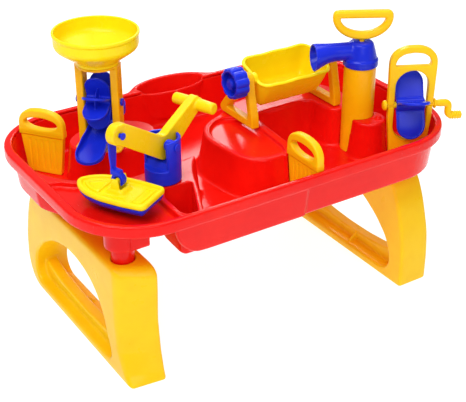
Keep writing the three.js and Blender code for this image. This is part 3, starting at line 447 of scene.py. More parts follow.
tray_line = [(18, 44), (-2, 36), (-19, 22), (-31, -2), (-33, -28), (-29, -56), (-24, -84), (-15, -99), (-4, -106), (14, -109), (36, -108), (43, -88), (49, -10), (46, 30)]


# ------------------------------------------------------------------ tray
def make_tub():
    g = Grid((-325, -206, 158), (325, 240, 296), 1.9)
    x, y, z = g.x, g.y, g.z
    d_rim = g.flat(pill(324.85, 205.85, 112))
    d_in = g.flat(pill(311, 196, 100))
    d_fl = g.flat(pill(303, 188, 90))
    d_wt = g.flat(pill(314, 199, 103))
    d_wb = g.flat(pill(306, 191, 93))
    outer = rmax(blend_z([d_wb, d_wt], [BASE, DECK], z), slab(z, BASE, DECK), 5)
    y_out = -194 - (z - 210) * 0.15
    y_in = -187 - (z - 210) * 0.1417
    side = outer
    panel = rmax(rmax(slab(x, -166, 13.5), np.maximum(y_out - y, y + 180), 5), slab(z, BASE, 270), 5)
    outer = rmin(outer, panel, 2)
    proud_line = [(13, 210), (14, 270), (-210, 270), (-209, 252), (-204, 240), (-197, 228), (-185, 217), (-172, 211), (-158, 210)]
    p2 = poly2(rounded(proud_line, [3, 3, 3, 6, 8, 9, 9, 8, 8], 4), x, z)
    proud = rmax(p2, np.maximum(y_out - y, y - y_in), 3.5)
    proud_deep = rmax(p2, np.maximum(y_out - y, y + 180), 3.5)
    room = rmax(blend_z([d_fl, d_in], [FLOOR, DECK + 1], z), FLOOR - z, 7)
    rise = np.clip((DECK - z) / (DECK - FLOOR), 0, 1.1)

    def island(line, draft, r=14, top=3.0):
        d = line if isinstance(line, np.ndarray) and line.ndim == 3 else g.flat(rounded(line, r))
        return rmax(d - draft * rise, z - DECK, top), rmax(d + WALLV - draft * rise, z - (DECK - WALLV), 3)

    land, land_h = island(land_line, 7, 12)
    mill, mill_h = island(g.flat(oval(-160, 80, 70, 50)), 8)
    harb, harb_h = island(harbour_line, 11, 13)
    cone_d = (np.hypot(x - 216, y + 84) - 27).astype(F)
    cone, cone_h = island(cone_d, 6, top=3.5)
    well = (np.hypot(x - PUMP[0], y - PUMP[1])).astype(F)
    wu = (x - F(WHEEL[0])) * F(WD[0]) + (y - F(WHEEL[1])) * F(WD[1])
    wn = (x - F(WHEEL[0])) * F(WN[0]) + (y - F(WHEEL[1])) * F(WN[1])
    tight = np.clip((z - FLOOR) / 63, 0, 1) * 6
    slot_w = np.maximum(np.abs(wu) - 29.6 - tight, np.abs(wn) - 6.7)
    islands = rmin(rmin(mill, harb, 2), cone, 4)
    islands = rmax(islands, -(well - 26.3), 1.2)
    islands = rmax(islands, -slot_w, 1.0)
    islands = rmin(islands, land, 3)
    hollows = np.minimum(np.minimum(mill_h, harb_h), cone_h)
    hollows = np.maximum(hollows, -(well - 30))
    hollows = np.maximum(hollows, -(slot_w - 3.4))
    hollows = np.minimum(hollows, land_h)
    air = rmax(room, -islands, 4.5)
    tub = rmax(outer, -air, 1.5)
    tub = rmax(tub, -hollows, 1.2)
    tub = rmin(tub, proud, 0.8)
    # rolled rim and the cup that bulges out of the far side
    ov = lambda rx, ry: g.flat(oval(15, 206, rx, ry))
    c_rim = ov(70.85, 33.85)
    edge = rmin(d_rim, c_rim, 18)
    rim = rmax(edge, slab(z, RIM_SKIRT, RIM_TOP), 3.2)
    bead = np.hypot(edge + 2.9, z - RIM_SKIRT - 2.4) - 2.7
    under = rmax(edge + 4.2, z - (RIM_TOP - 4.6), 2.0)
    rim = rmax(rim, -under, 0.8)
    plate_top = rmax(rmax(edge, slab(z, RIM_TOP - 4.6, RIM_TOP), 1.5), edge, 0)
    rim = rmin(rim, bead, 1.0)
    rim = rmax(rim, -(d_in + 0 * z), 2.6)
    # pans let into the deck, each with its own floor
    def pan(d, floor, clip_in=None, clip_out=None):
        body = rmax(d - 3.5, slab(z, floor - 3.5, DECK), 1.5)
        air_ = rmax(d, floor - z, 3.0)
        if clip_in is not None:
            body = np.maximum(body, clip_out)
            air_ = rmax(air_, clip_in, 3.0)
        return body, air_
    b1, a1 = pan(g.flat(rounded(recess_line, 12)), RECESS, d_in, d_wt)
    d_lock = g.flat(rounded(lock_line, 7))
    b2 = rmax(rmax(d_lock - 3.5, slab(z, BASE, DECK), 4), np.minimum(side, proud_deep), 1.0)
    a2 = rmax(rmax(d_lock, LOCK - z, 5), blend_z([d_fl, d_in], [FLOOR, DECK + 1], z), 4)
    b3, a3 = pan(g.flat(rounded(tray_line, 12)), 269.5)
    cup_b = rmax(blend_z([ov(58, 22), ov(65.5, 29.5)], [222, 277], z), slab(z, 222, 277), 5)
    cup_a = rmax(blend_z([ov(54, 18), ov(62, 26)], [225, 281], z), 225 - z, 7)
    tub = rmin(tub, rim, 1.0)
    for b in (b1, b2, b3, cup_b):
        tub = rmin(tub, b, 0.8)
    for a in (a1, a2, a3, cup_a):
        tub = rmax(tub, -a, 1.8)
    # guide ribs of the near sluice
    for s in (-1, 1):
        gx = slab(x, 36 + s * 8.2 - 1.7, 36 + s * 8.2 + 1.7)
        far = rmax(gx, rmax(slab(y, -131.5, -114) + 0 * z, slab(z, FLOOR - 1, DECK), 1) + 0, 1.2)
        far = np.maximum(far, -(y + 131.5 - (z - FLOOR) * 0.16))
        near = rmax(gx, np.maximum(slab(z, FLOOR - 1, DECK), np.maximum(y + 184 + (z - FLOOR) * 0.11, -(y + 190 + (z - FLOOR) * 0.119))), 1.2)
        tub = rmin(rmin(tub, far, 1.0), near, 1.0)
    # bosses on the underside, pegs in the leg tops
    for sx in (-1, 1):
        for sy in (-1, 1):
            rad = (np.hypot(x - sx * 251, y - sy * 117)).astype(F)
            near_left = sx < 0 and sy < 0
            peg = rmax(rad - 17, slab(z, 160.5, 212.5), 2.0)
            if near_left:
                peg = rmin(peg, rmax(rad - 26, slab(z, 210.5, 266), 2.5), 1.0)
                tab = boxf(x, y, z, (-237, -133, 240), (15, 15, 26), 1.5)
                peg = rmin(peg, tab, 1.0)
            tub = rmin(tub, peg, 1.6)
            tub = rmax(tub, -rmax(rad - 12.5, slab(z, 150, 262 if near_left else 208), 1.5), 0.8)
    # spigot under the crane and the little stud on the pump's cone
    cr = np.hypot(x - CRANE[0], y - CRANE[1]).astype(F)
    tub = rmin(tub, rmax(rmax(cr - 13.8, z - 294.5, 2), 270 - z, 0), 1.0)
    tub = rmax(tub, -rmax(cr - 11, slab(z, 240, 291), 1), 0.5)
    stud = np.sqrt((x - 226) ** 2 + (y + 96) ** 2 + (z - 276) ** 2).astype(F) - 5.2
    tub = rmin(tub, stud, 1.0)
    return skin("tray", g, tub, "table", ["tub"], M["red"], 0.012)


# ------------------------------------------------------------------ legs
leg_rest = [(364, 93), (347, 149), (333, 177), (323, 188), (36, 188), (22, 184), (14, 174), (14, 152), (17, 98), (12, 48), (5, 16)]
leg_round = [(0, 0), (330, 0), (345, 6), (358, 18), (368, 44)] + leg_rest
leg_square = [(0, 0), (364, 0), (368, 3), (368, 25), (368, 50)] + leg_rest
leg_hole = [(334, 47), (324, 75), (294, 104), (263, 124), (235, 135), (201, 143), (170, 143), (143, 138), (121, 129), (104, 116), (93, 102), (83, 82),
            (76, 59), (69, 43), (67, 28), (73, 18), (90, 15), (316, 15), (329, 21), (335, 34)]
leg_ridge = [(62, 12), (332, 12), (338, 48), (318, 43), (290, 37), (240, 32), (184, 31), (130, 34), (96, 41), (66, 52)]
leg_slant = np.array([(-1, 3, -2), (16, 20, 4), (48, 37, 11), (98, 42, 16), (152, 41, 13), (176, 40, 13), (190, 46, 22)], float)


def make_legs():
    h = 1.6
    for side, s, line, corner in (("left", 1, leg_round, [12, 9, 9, 16]), ("right", -1, leg_square, [3, 2, 6, 16])):
        # u along Y from the slanted end, v up, w inward from the outer face; the right leg is turned half round
        g = Grid((0, 0, 0), (368, 188, 58), h, (-s * 280, -s * 184, 0), (0, s, 0), Z)
        x, y, w = g.x, g.y, g.z
        lo = g.flat(rounded(line, [2] + corner + [16, 16, 12, 9, 14, 9, 9, 12, 16, 12, 8]))
        ho = g.flat(rounded(leg_hole, [16, 16, 12, 10, 10, 10, 10, 8, 8, 8, 8, 8, 8, 8, 8, 6, 5, 6, 8, 8]))
        yy = np.broadcast_to(y, (1, g.n[1], 1))
        co = np.interp(yy, leg_slant[:, 0], leg_slant[:, 1]).astype(F)
        ci = np.interp(yy, leg_slant[:, 0], leg_slant[:, 2]).astype(F)
        slant = (co + (ci - co) * (w / 58) - x) * F(0.9)
        f = rmax(lo, -w, 7)
        f = rmax(f, w - 58, 5)
        f = rmax(f, slant, 8)
        f = rmax(f, -ho, 4.5)
        ridge = rmax(g.flat(rounded(leg_ridge, [2, 2, 4, 9, 12, 14, 14, 14, 9, 4])), np.abs(w - 27.5) - 9.5, 3)
        f = rmin(f, ridge, 4)
        gus = rmax(np.abs(x - 223) - 1.6, np.maximum(np.maximum(36 - w, 12 - y), (y - 31) * 0.73 + (w - 36) * 0.68), 0.8)
        f = rmin(f, gus, 1.5)
        for c in (67, 301):
            rad = np.hypot(x - c, w - 29).astype(F) + 0 * y
            f = rmin(f, rmax(rad - 21, slab(y, 156, 187.8), 2.0), 1.0)
            f = rmax(f, -rmax(rad - 17.5, 160 - y, 1.0), 1.6)
        f = np.maximum(np.maximum(f, y - 188), -y)
        skin("leg_" + side + "_shell", g, f, "table", ["leg_" + side], M["leg"], 0.02)


# ------------------------------------------------------------------ sand mill
def blade_wheel(name, o, U, count, phase, r, width, hub, bore, t, curl, spoon, h, body, node, web=0.0):
    w = width / 2
    g = Grid((-r, -r, -w), (r, r, w), h, o, U, Z)
    x, y, z = g.x, g.y, g.z
    rho = np.hypot(x, y).astype(F)
    phi = np.arctan2(y, x).astype(F)
    k = math.radians(curl)
    lean = k * ((rho / r) ** 2 - 0.3)
    step = 2 * math.pi / count
    off = spoon * (z / w) ** 2 * np.clip(rho / r, 0, 1)
    a = (phi - lean - math.radians(phase)) - off / np.maximum(rho, 6)
    a = (a + step / 2) % step - step / 2
    cosl = 1 / np.sqrt(1 + (2 * k * (rho / r) ** 2) ** 2)
    blade = (np.abs(rho * np.sin(a)) * cosl - t / 2).astype(F)
    core = r - w
    env = np.hypot(np.maximum(rho - core, 0), z).astype(F) - w
    env = np.where(rho < core, np.abs(z) - w, env).astype(F)
    f = rmax(blade, env, 1.0)
    # a thicker bead along each blade's edge
    bead = np.hypot(np.maximum(blade + t / 2, 0), env + 1.4) - (t / 2 + 0.55)
    f = rmin(f, np.maximum(bead, 8 - rho), 0.7)
    f = rmin(f, rmax(rho - hub, np.abs(z) - w, 1.2), 2.0)
    if web:
        f = rmin(f, rmax(rho - web, np.abs(z) - 0.9, 0.8), 0.8)
    f = rmax(f, -(rho - bore), 0.5)
    f = np.maximum(f, np.maximum(env, rho - r))
    return skin(name, g, f, body, [node], M["blue"])


def make_mill():
    # stand: foot, two posts and the ring that carries the funnel
    g = Grid((-37, -27, 276.3), (37, 27, 410.2), 0.9, (*MILL, 0), MA, MP)
    x, y, z = g.x, g.y, g.z
    foot = rmax(g.flat(pill(36, 26, 8)), slab(z, 276.3, 280), 1.2)
    wide = 11 + np.clip((300 - z) / 21, 0, 1)
    posts = rmax(rmax(np.abs(np.abs(x) - 27) - 6, np.abs(y) - wide, 2.2), slab(z, 278, 410.2), 1.0)
    rho = np.hypot(x, y).astype(F)
    ring = rmax(rmax(rho - 31.5, slab(z, 406, 410.2), 1.2), 22 - rho, 1.0)
    f = rmin(rmin(foot, posts, 3.0), ring, 2.5)
    f = rmax(f, -(np.hypot(y, z - 350) - 4.5 + 0 * x), 0.7)
    skin("mill_stand", g, f, "table", ["mill_frame"], M["deep"])
    turned("sand_funnel", [(8, 410.5, 0), (8, 410.5, 0), (32.5, 410.5, 1.5), (32.5, 415, 3), (62.5, 437, 6), (62.5, 453.5, 1), (64, 455.5, 1.5), (64, 460, 1.8),
                           (60.2, 460, 1.6), (59.6, 438.5, 6), (30.5, 418, 3), (8, 413.8, 1.2), (8, 410.5, 0)], (*MILL, 0), Z,
           "table", ["mill_funnel"], M["lemon"], 144)
    o = (*MILL, 350)
    blade_wheel("mill_paddles", o, MP, 8, 16, 44, 38, 9, 4.3, 2.8, 7, 2.2, 0.75, "mill_rotor", "mill_wheel", web=24)
    turned("mill_pin", [(0, -36.6), (5.8, -36.6, 1.4), (5.8, -33.5, 0.6), (4, -33.5, 0.4), (4, 33.5, 0.4), (5.8, 33.5, 0.6), (5.8, 36.6, 1.4), (0, 36.6)], o, MA,
           "mill_rotor", ["mill_axle"], M["blue"], 48)
    # chute: one slope from the high far end down to a rounded tongue, with side walls that fade out
    g = Grid((-80.2, -22.2, 279.2), (72.2, 22.2, 326.2), 0.8, (*MILL, 0), MP, -MA)
    x, y, z = g.x, g.y, g.z
    out = []
    for s, c in ((1, 50), (-1, 58)):
        out += [(s * (c + 22 * math.cos(t)), s * 22 * math.sin(t)) for t in np.radians(np.linspace(-90, 90, 25))]
        out += [(s * 21, s * 19.6), (-s * 21, s * 19.6)]
    d = g.flat(out)
    up = (z - (299.5 + 0.215 * x)) * F(0.978)
    wall = np.interp(x, [-74, -34], [3.0, 11.0]).astype(F)
    f = rmax(rmax(d, up - wall, 1.1), -2.6 - up, 1.2)
    f = rmax(f, -rmax(d + 2.5, -up, 3.0), 1.0)
    foot = rmax(rmax(np.abs(x) - 15, np.abs(y) - 15, 2), slab(z, 280.3, 300), 1)
    foot = np.maximum(foot, up + 0.8)
    f = rmin(f, foot, 2)
    skin("mill_spillway", g, f, "table", ["mill_chute"], M["blue"])


# ------------------------------------------------------------------ crane, hook and boat
def make_crane():
    h = 0.8
    g = Grid((-26.6, -26.6, 276.3), (26.6, 26.6, 344), h, (*CRANE, 0), J, np.cross(Z, J))
    x, y, z = g.x, g.y, g.z
    rho = np.hypot(x, y).astype(F)
    f = rmax(rho - 26.6, slab(z, 276.3, 344), 2.6)
    f = rmax(f, -rmax(rho - 14.5, z - 295, 0.5), 0.5)
    sill = np.where(np.abs(x) < 14, 299 + 9.2 * np.clip((14 - np.abs(x)) / 3, 0, 1), 299)
    f = rmax(f, -np.maximum(np.abs(y) - 8, sill - z), 1.1)
    f = rmax(f, -rmax(rho - 22.4, sill - z, 1.0), 0.9)
    f = rmax(f, -rmax(14 - x + 0.02 * (z - 299), 299 - z + 0 * y, 3), 1.4)
    f = np.maximum(f, z - (344 - 1.6 * (0.5 - 0.5 * np.cos(4 * np.arctan2(y, x)))))
    hub = rmax(np.hypot(x, z - 333).astype(F) - 8.5, np.maximum(rho - 26, 9.5 - np.abs(y)), 0.8)
    f = rmin(f, hub, 1.2)
    f = rmax(f, -(np.hypot(x, z - 333) - 4.3 + 0 * y), 0.5)
    skin("crane_tower", g, f, "crane_body", ["crane_post"], M["blue"])
    o = (*CRANE, 333)
    turned("crane_pin", [(0, -27.4), (4, -27.4, 0.6), (4, 26.9, 0.3), (6, 26.9, 0.5), (6, 28.8, 1.4), (0, 28.8)], o, K, "crane_body",
           ["crane_pivot_pin"], M["blue"], 48)
    line = [(5, 309), (82, 361), (90, 366.5)] + arc(93, 383, 15, -62, 90, 14)[1:] + [(82, 396.5), (6, 348), (-2, 347.4), (-10, 352), (-72, 381),
            (-78, 379), (-80, 372), (-78, 356), (-70, 352), (-22, 319), (-9, 311)]
    rr = [4] * 3 + [1] * 14 + [4] + [5, 3, 4] + [6] * 2 + [4, 5, 5] + [6, 6]
    g = Grid((-85, 308, -36.5), (108, 398, 36.5), h, (*CRANE, 0), J, Z)
    x, y, z = g.x, g.y, g.z
    f = rmax(g.flat(rounded(line, rr[:len(line)] + [3] * (len(line) - len(rr)))), np.abs(z) - 7, 2.0)
    f = rmax(f, -(np.hypot(x, y - 333) - 4.3 + 0 * z), 0.4)
    f = rmax(f, -(np.hypot(x - 93, y - 383) - 3.4 + 0 * z), 0.4)
    bar = np.hypot(x + 75, y - 367).astype(F)
    f = rmin(f, rmax(bar - 9.0 + 0.6 * np.clip((np.abs(z) - 12) / 24, 0, 1), np.abs(z) - 36, 2.2), 1.5)
    f = rmin(f, rmax(bar - 10.2, np.abs(z) - 8.6, 1.2), 1.0)
    skin("crane_arm", g, f, "jib", ["crane_jib"], M["arm"])
    head = np.array([*CRANE, 0]) + 93 * J + [0, 0, 383]
    turned("hook_pin", [(0, -12.9), (5, -12.9, 1.2), (5, -10.9, 0.4), (3, -10.9, 0.3), (3, 10.9, 0.3), (5, 10.9, 0.4), (5, 12.9, 1.2), (0, 12.9)],
           head, K, "jib", ["crane_hook_pin"], M["blue"], 40)
    # hook: two cheeks on the head, a strap down and an open ring over the boat's tow bar
    ho = np.array([*CRANE, 0]) + 93 * J
    g = Grid((-12, -13, 305), (12, 13, 391), 0.55, ho, J, np.cross(Z, J))
    x, y, z = g.x, g.y, g.z
    # this grid's second axis runs to the far side, so the strap lies at +9.2 on it
    half = np.interp(z, [322, 331, 352, 383], [4.8, 4.9, 7.0, 7.5]).astype(F)
    cheek = np.where(z > 383, np.hypot(x, z - 383) - 7.5, np.abs(x) - half).astype(F)
    cheek = rmax(rmax(cheek, 322 - z, 1), np.abs(y * F(FARSIDE) - 9.2) - 1.5, 0.9)
    cheek = rmax(cheek, -(np.hypot(x, z - 383) - 3.3 + 0 * y), 0.4)
    strap = rmax(rmax(np.abs(x) - 4.8, slab(y * F(FARSIDE), -4.5, 10.7), 1.2), slab(z, 322, 330), 1.6)
    f = rmin(cheek, strap, 1.6)
    bu = x * F(J @ BD) + y * F(np.cross(Z, J) @ BD)
    bv = x * F(J @ BT) + y * F(np.cross(Z, J) @ BT)
    rr_ = np.hypot(bu, z - 316)
    ang = np.degrees(np.arctan2(z - 316, bu))
    ring = rmax(rmax(rr_ - 10, 4.4 - rr_, 1.1), np.abs(bv) - 4.6, 1.3)
    gap = np.maximum(-(bu + 0 * z), 0) * 0
    # the mouth of the ring faces down and to the stern side
    m0, m1 = math.radians(-125), math.radians(-55)
    cx_, cz_ = math.cos((m0 + m1) / 2), math.sin((m0 + m1) / 2)
    alongm = bu * cx_ + (z - 316) * cz_
    across = np.abs(-bu * cz_ + (z - 316) * cx_)
    mouth = np.maximum(across - 3.9 - 0.25 * np.maximum(alongm - 4, 0), -alongm)
    ring = rmax(ring, -mouth, 1.0)
    f = rmin(f, ring, 1.2)
    skin("hook", g, f, "hook_and_boat", ["crane_hook"], M["blue"])
    # boat
    bo = ho + 2 * BD
    plan = [(-59, -26), (-54, -32), (-22, -34.5), (14, -33.5), (40, -27), (57, -16), (68, 0), (57, 16), (40, 27), (14, 33.5), (-22, 34.5), (-54, 32), (-59, 26)]
    hb = 0.75
    g = Grid((-59, -34.5, 281.6), (68, 34.5, 292.6), hb, bo, BD, -BT)
    x, y, z = g.x, g.y, g.z
    d = rmax(g.flat(rounded(plan, 9)), rmax(np.abs(y) - 34.5, -59 - x, 13), 2)
    t = np.clip((z - 281.6) / 11, 0, 1)
    side = d + 2.2 + 6.0 * (1 - t) ** 1.8
    f = rmax(side, slab(z, 281.6, 292.6), 1.2)
    f = rmax(f, -rmax(side + 2.4, 284 - z, 1.5), 0.8)
    skin("boat_bottom", g, f, "hook_and_boat", ["boat_hull"], M["blue"])
    z0 = 292.9
    g = Grid((-59, -34.5, z0 - 4.2), (68, 34.5, 320.2), hb, bo, BD, -BT)
    x, y, z = g.x, g.y, g.z
    d = rmax(g.flat(rounded(plan, 9)), rmax(np.abs(y) - 34.5, -59 - x, 13), 2)
    f = rmax(d + 0.2, slab(z, z0, z0 + 9.4), 4.2)
    f = rmax(f, -rmax(d + 7.4, z0 + 4.6 - z, 2.6), 2.4)
    f = rmin(f, rmax(d + 9.5, slab(z, z0 - 4, z0 + 2), 0.8), 0.4)
    # low benches in the bow and along the stern
    bow = rmax(rmax(d + 11.5, 20 - x, 4), z - z0 - 8.2, 2.0)
    bow = rmax(bow, -rmax(rmax(d + 17.5, 24 - x, 2), z0 + 5.2 - z, 1.5), 1.6)
    stern = rmax(rmax(d + 11, x + 34, 3), z - z0 - 7.6, 1.8)
    stern = rmax(stern, -rmax(rmax(d + 17, -x - 52 + 0 * y, 2), z0 + 5.2 - z, 1.2), 1.4)
    f = rmin(rmin(f, bow, 1.4), stern, 1.4)
    hx0 = -16.5 + (z - z0 - 3) * 0.35
    hx1 = 14 - (z - z0 - 3) * 0.5
    hy = 15.5 - (z - z0 - 3) * 0.25
    house = rmax(rmax(np.maximum(x - hx1, hx0 - x), np.abs(y) - hy, 6), z - z0 - 12, 3)
    f = rmin(f, rmax(house, z0 - z, 0), 2.0)
    f = rmax(f, -(np.maximum(np.maximum(x - 5, -9 - x), np.abs(y) - 8) + 0 * z), 1.3)
    # arms and tow bar
    for s in (-1, 1):
        prof = np.maximum(np.abs(x + 2) - 7 + 3 * np.clip((z - z0 - 10) / 20, 0, 1), z - 320 + 0 * x)
        arm = rmax(rmax(prof, z0 + 8 - z, 0), np.abs(y - s * 10.5) - 1.6, 0.9)
        f = rmin(f, arm, 1.4)
    f = rmin(f, rmax(np.hypot(x + 2, z - 316).astype(F) - 3 + 0 * y, np.abs(y) - 11, 0.6), 0.8)
    skin("boat_top", g, f, "hook_and_boat", ["boat_deck"], M["lemon"])


# ------------------------------------------------------------------ tipping bucket
def make_tipper():
    h = 0.85
    line = [(-22, 276.3), (66, 276.3), (72, 281), (71, 287)] + arc(4, 350, 12, 40, 188, 14) + [(-11.4, 331), (-21.7, 291.3)]
    hole = [(-9, 288), (50, 288), (51, 290), (8, 333), (1, 334), (-1, 330)]
    for name, x0 in (("left", 32), ("right", 194)):
        g = Grid((-22, 276.3, 0), (72, 362, 14), h, (x0, 0, 0), (0, 1, 0), Z)
        x, y, z = g.x, g.y, g.z
        r = [2, 3, 3, 4] + [1] * 15 + [4, 6]
        f = rmax(g.flat(rounded(line, r)), slab(z, 0, 14), 2.0)
        f = rmax(f, -(g.flat(rounded(hole, 3.5)) + 0 * z), 1.8)
        f = rmax(f, -(np.hypot(x - 4, y - 350) - 5.4 + 0 * z), 0.5)
        skin("bracket_" + name, g, f, "table", ["tipper_bracket_" + name], M["deep"])
    tilt = math.radians(19.6)
    V = np.array([0, math.cos(tilt), math.sin(tilt)])
    g = Grid((-107, -39, -57), (89, 39, 14), 0.95, (120, 11.5, 356.5), (1, 0, 0), V)
    x, y, z = g.x, g.y, g.z
    L = 70.0
    f_rim = g.flat(pill(L, 38.6, 20))
    top = -0.2 - 1.3 * (0.5 - 0.5 * np.cos(x * (2 * math.pi / 47))) * np.clip((np.abs(y) - 14) / 12, 0, 1)
    s = np.clip(-z / 56, 0, 1).astype(F)
    side = f_rim + 2.6 + 10.7 * s ** 1.6
    outer = rmax(side, -56 - z, 10)
    outer = rmax(outer, z - top, 0.6)
    lip = rmax(f_rim, np.maximum(z - top, top - 3.6 - z), 1.6)
    outer = rmin(outer, lip, 1.4)
    inner = rmax(side + 3, -53 - z, 8.5)
    ay, az = (np.array([0, 4 - 11.5, 350 - 356.5]) @ V), (np.array([0, 4 - 11.5, 350 - 356.5]) @ np.cross((1, 0, 0), V))
    ax = np.hypot(y - ay, z - az).astype(F)
    boss = rmax(ax - 9, np.abs(np.abs(x) - 65.2) - 7.2, 1.2)
    f = rmax(rmin(outer, boss, 2.0), -inner, 1.3)
    rods = rmax(ax - 5, np.maximum(slab(x, -106, 87.4), 66 - np.abs(x)), 0.8)
    f = rmin(f, rods, 0.8)
    f = np.maximum(f, slab(x, -106, 87.4))
    skin("bucket_shell", g, f, "bucket", ["tipping_bucket"], M["lemon"])
    # lobed knob, hollow in front
    g = Grid((-25.2, -25.2, 6), (25.2, 25.2, 30), 0.6, (0, 4, 350), (0, 1, 0), Z)
    x, y, z = g.x, g.y, g.z
    rho, phi = np.hypot(x, y).astype(F), np.arctan2(y, x).astype(F)
    lobes = np.abs(np.sin(5 * phi)) ** 0.7
    f = rmax(rho - (22.4 + 2.7 * lobes) + 0.7 * np.clip(np.abs(z - 18) / 12, 0, 1) ** 2, slab(z, 6, 30), 2.4)
    cup = rmax(rmax(rho - 18.4, z - 18.5, 2.0), 8.4 - rho, 1.0)
    f = rmax(f, -cup, 1.6)
    f = rmax(f, -rmax(rho - 5.3 + 0 * z, 13.5 - z, 0), 0.5)
    f = rmax(f, -rmax(np.abs(rho - 6.4) - 0.5, z - 7.2, 0.2), 0.3)
    skin("knob", g, f, "bucket", ["tipper_knob"], M["blue"])


# ------------------------------------------------------------------ lift pump
def make_pump():
    o = (*PUMP, 0)
    turned("pump_tube", [(7, 222, 0), (7, 222, 0), (7, 226, 0.3), (22, 226, 0.8), (22, 358.7, 0.6), (25.5, 358.7, 0.9), (25.5, 213.3, 1.2), (22, 213.3, 0.6), (22, 222, 0.8), (7, 222, 0)][::-1],
           o, Z, "table", ["pump_barrel"], M["deep"], 120)
    turned("foot_valve_flap", [(0, 216.4), (5.4, 216.4, 0.6), (5.4, 218.2, 0.6), (3.4, 218.2, 0.3), (3.4, 226.3, 0.3), (13, 226.3, 0.5), (13, 228.8, 1.0), (0, 228.8)],
           o, Z, "foot_valve", ["pump_foot_valve"], M["rubber"], 48)
    turned("piston_head", [(0, 236), (21, 236, 0.6), (21, 239.5, 0.5), (18, 239.5, 0.3), (18, 243.5, 0.3), (21, 243.5, 0.5), (21, 247, 0.6), (0, 247)],
           o, Z, "plunger", ["pump_piston"], M["blue"], 64)
    turned("piston_ring", [(18.3, 239.8, 0), (18.3, 239.8, 0), (21.5, 239.8, 0.9), (21.5, 243.2, 0.9), (18.3, 243.2, 0.4), (18.3, 239.8, 0)], o, Z, "plunger", ["pump_seal"], M["rubber"], 64)
    turned("piston_rod", [(0, 247.3), (4, 247.3, 0.4), (4, 410, 0.4), (0, 410)], o, Z, "plunger", ["pump_rod"], M["deep"], 32)
    h = 0.85
    g = Grid((-28.2, 352, -28.2), (78.2, 402, 28.2), h, o, S, Z)
    x, y, z = g.x, g.y, g.z
    rho = np.hypot(x, z).astype(F)
    prof = [(-5, 359), (28, 359), (28, 370), (25.5, 372.5), (22.6, 384), (19, 396), (15, 399), (-5, 399)]
    body = poly2(rounded(prof, [0, 2.2, 2.5, 2.5, 1, 5, 6, 0]), rho, y + 0 * rho)
    # spout: a level tube that flares downward into a wide mouth
    u = np.linspace(-10, 92, 409)
    box_ = np.ones(25) / 25
    mid = np.interp(u, [0, 44, 54, 63, 71, 78, 92], [383, 383, 382.2, 380.4, 378.4, 376.4, 372.4])
    rad = np.interp(u, [0, 44, 54, 63, 71, 78, 92], [14.3, 14.4, 15.4, 17.6, 20, 22, 26])
    mid, rad = (np.interp(x, u[12:-12], np.convolve(q, box_, "valid")).astype(F) for q in (mid, rad))
    dl = np.hypot(y - mid, z).astype(F) - rad
    outer = rmin(body, rmax(dl, slab(x, 0, 78), 1.3), 3.0)
    cap = poly2([(-5, 350), (22, 350), (22, 369), (19.5, 372.5), (14, 394.5), (-5, 394.5)], rho, y + 0 * rho)
    inner = np.minimum(cap, np.maximum(dl + 2.7, -x))
    inner = np.minimum(inner, rho - 4.7 + 0 * y)
    f = rmax(outer, -inner, 1.0)
    skin("pump_cap", g, f, "table", ["pump_head"], M["blue"])
    HU = unit((0.866, -0.5, 0))
    t = np.radians(np.linspace(180, 360, 41))
    line = list(zip(47.5 * np.cos(t), 438 + 36.6 * np.sin(t))) + [(46.6, 445), (41, 449), (-41, 449), (-46.6, 445)]
    t = np.radians(np.linspace(180, 360, 31))
    hole = list(zip(35 * np.cos(t), 436.5 + 22 * np.sin(t)))
    g = Grid((-47.5, 401.4, -6.5), (47.5, 449, 6.5), 0.65, o, HU, Z)
    x, y, z = g.x, g.y, g.z
    f = rmax(g.flat(rounded(line, [1] * 41 + [4, 5, 5, 4])), np.abs(z) - 6.5, 5.0)
    f = rmax(f, -(g.flat(rounded(hole, [3] + [0.5] * 29 + [3])) + 0 * z), 4.4)
    f = rmax(f, -(np.maximum(np.hypot(x, z) - 4.4, y - 410.5)), 0.4)
    skin("pull_handle", g, f, "plunger", ["pump_handle"], M["leg"])


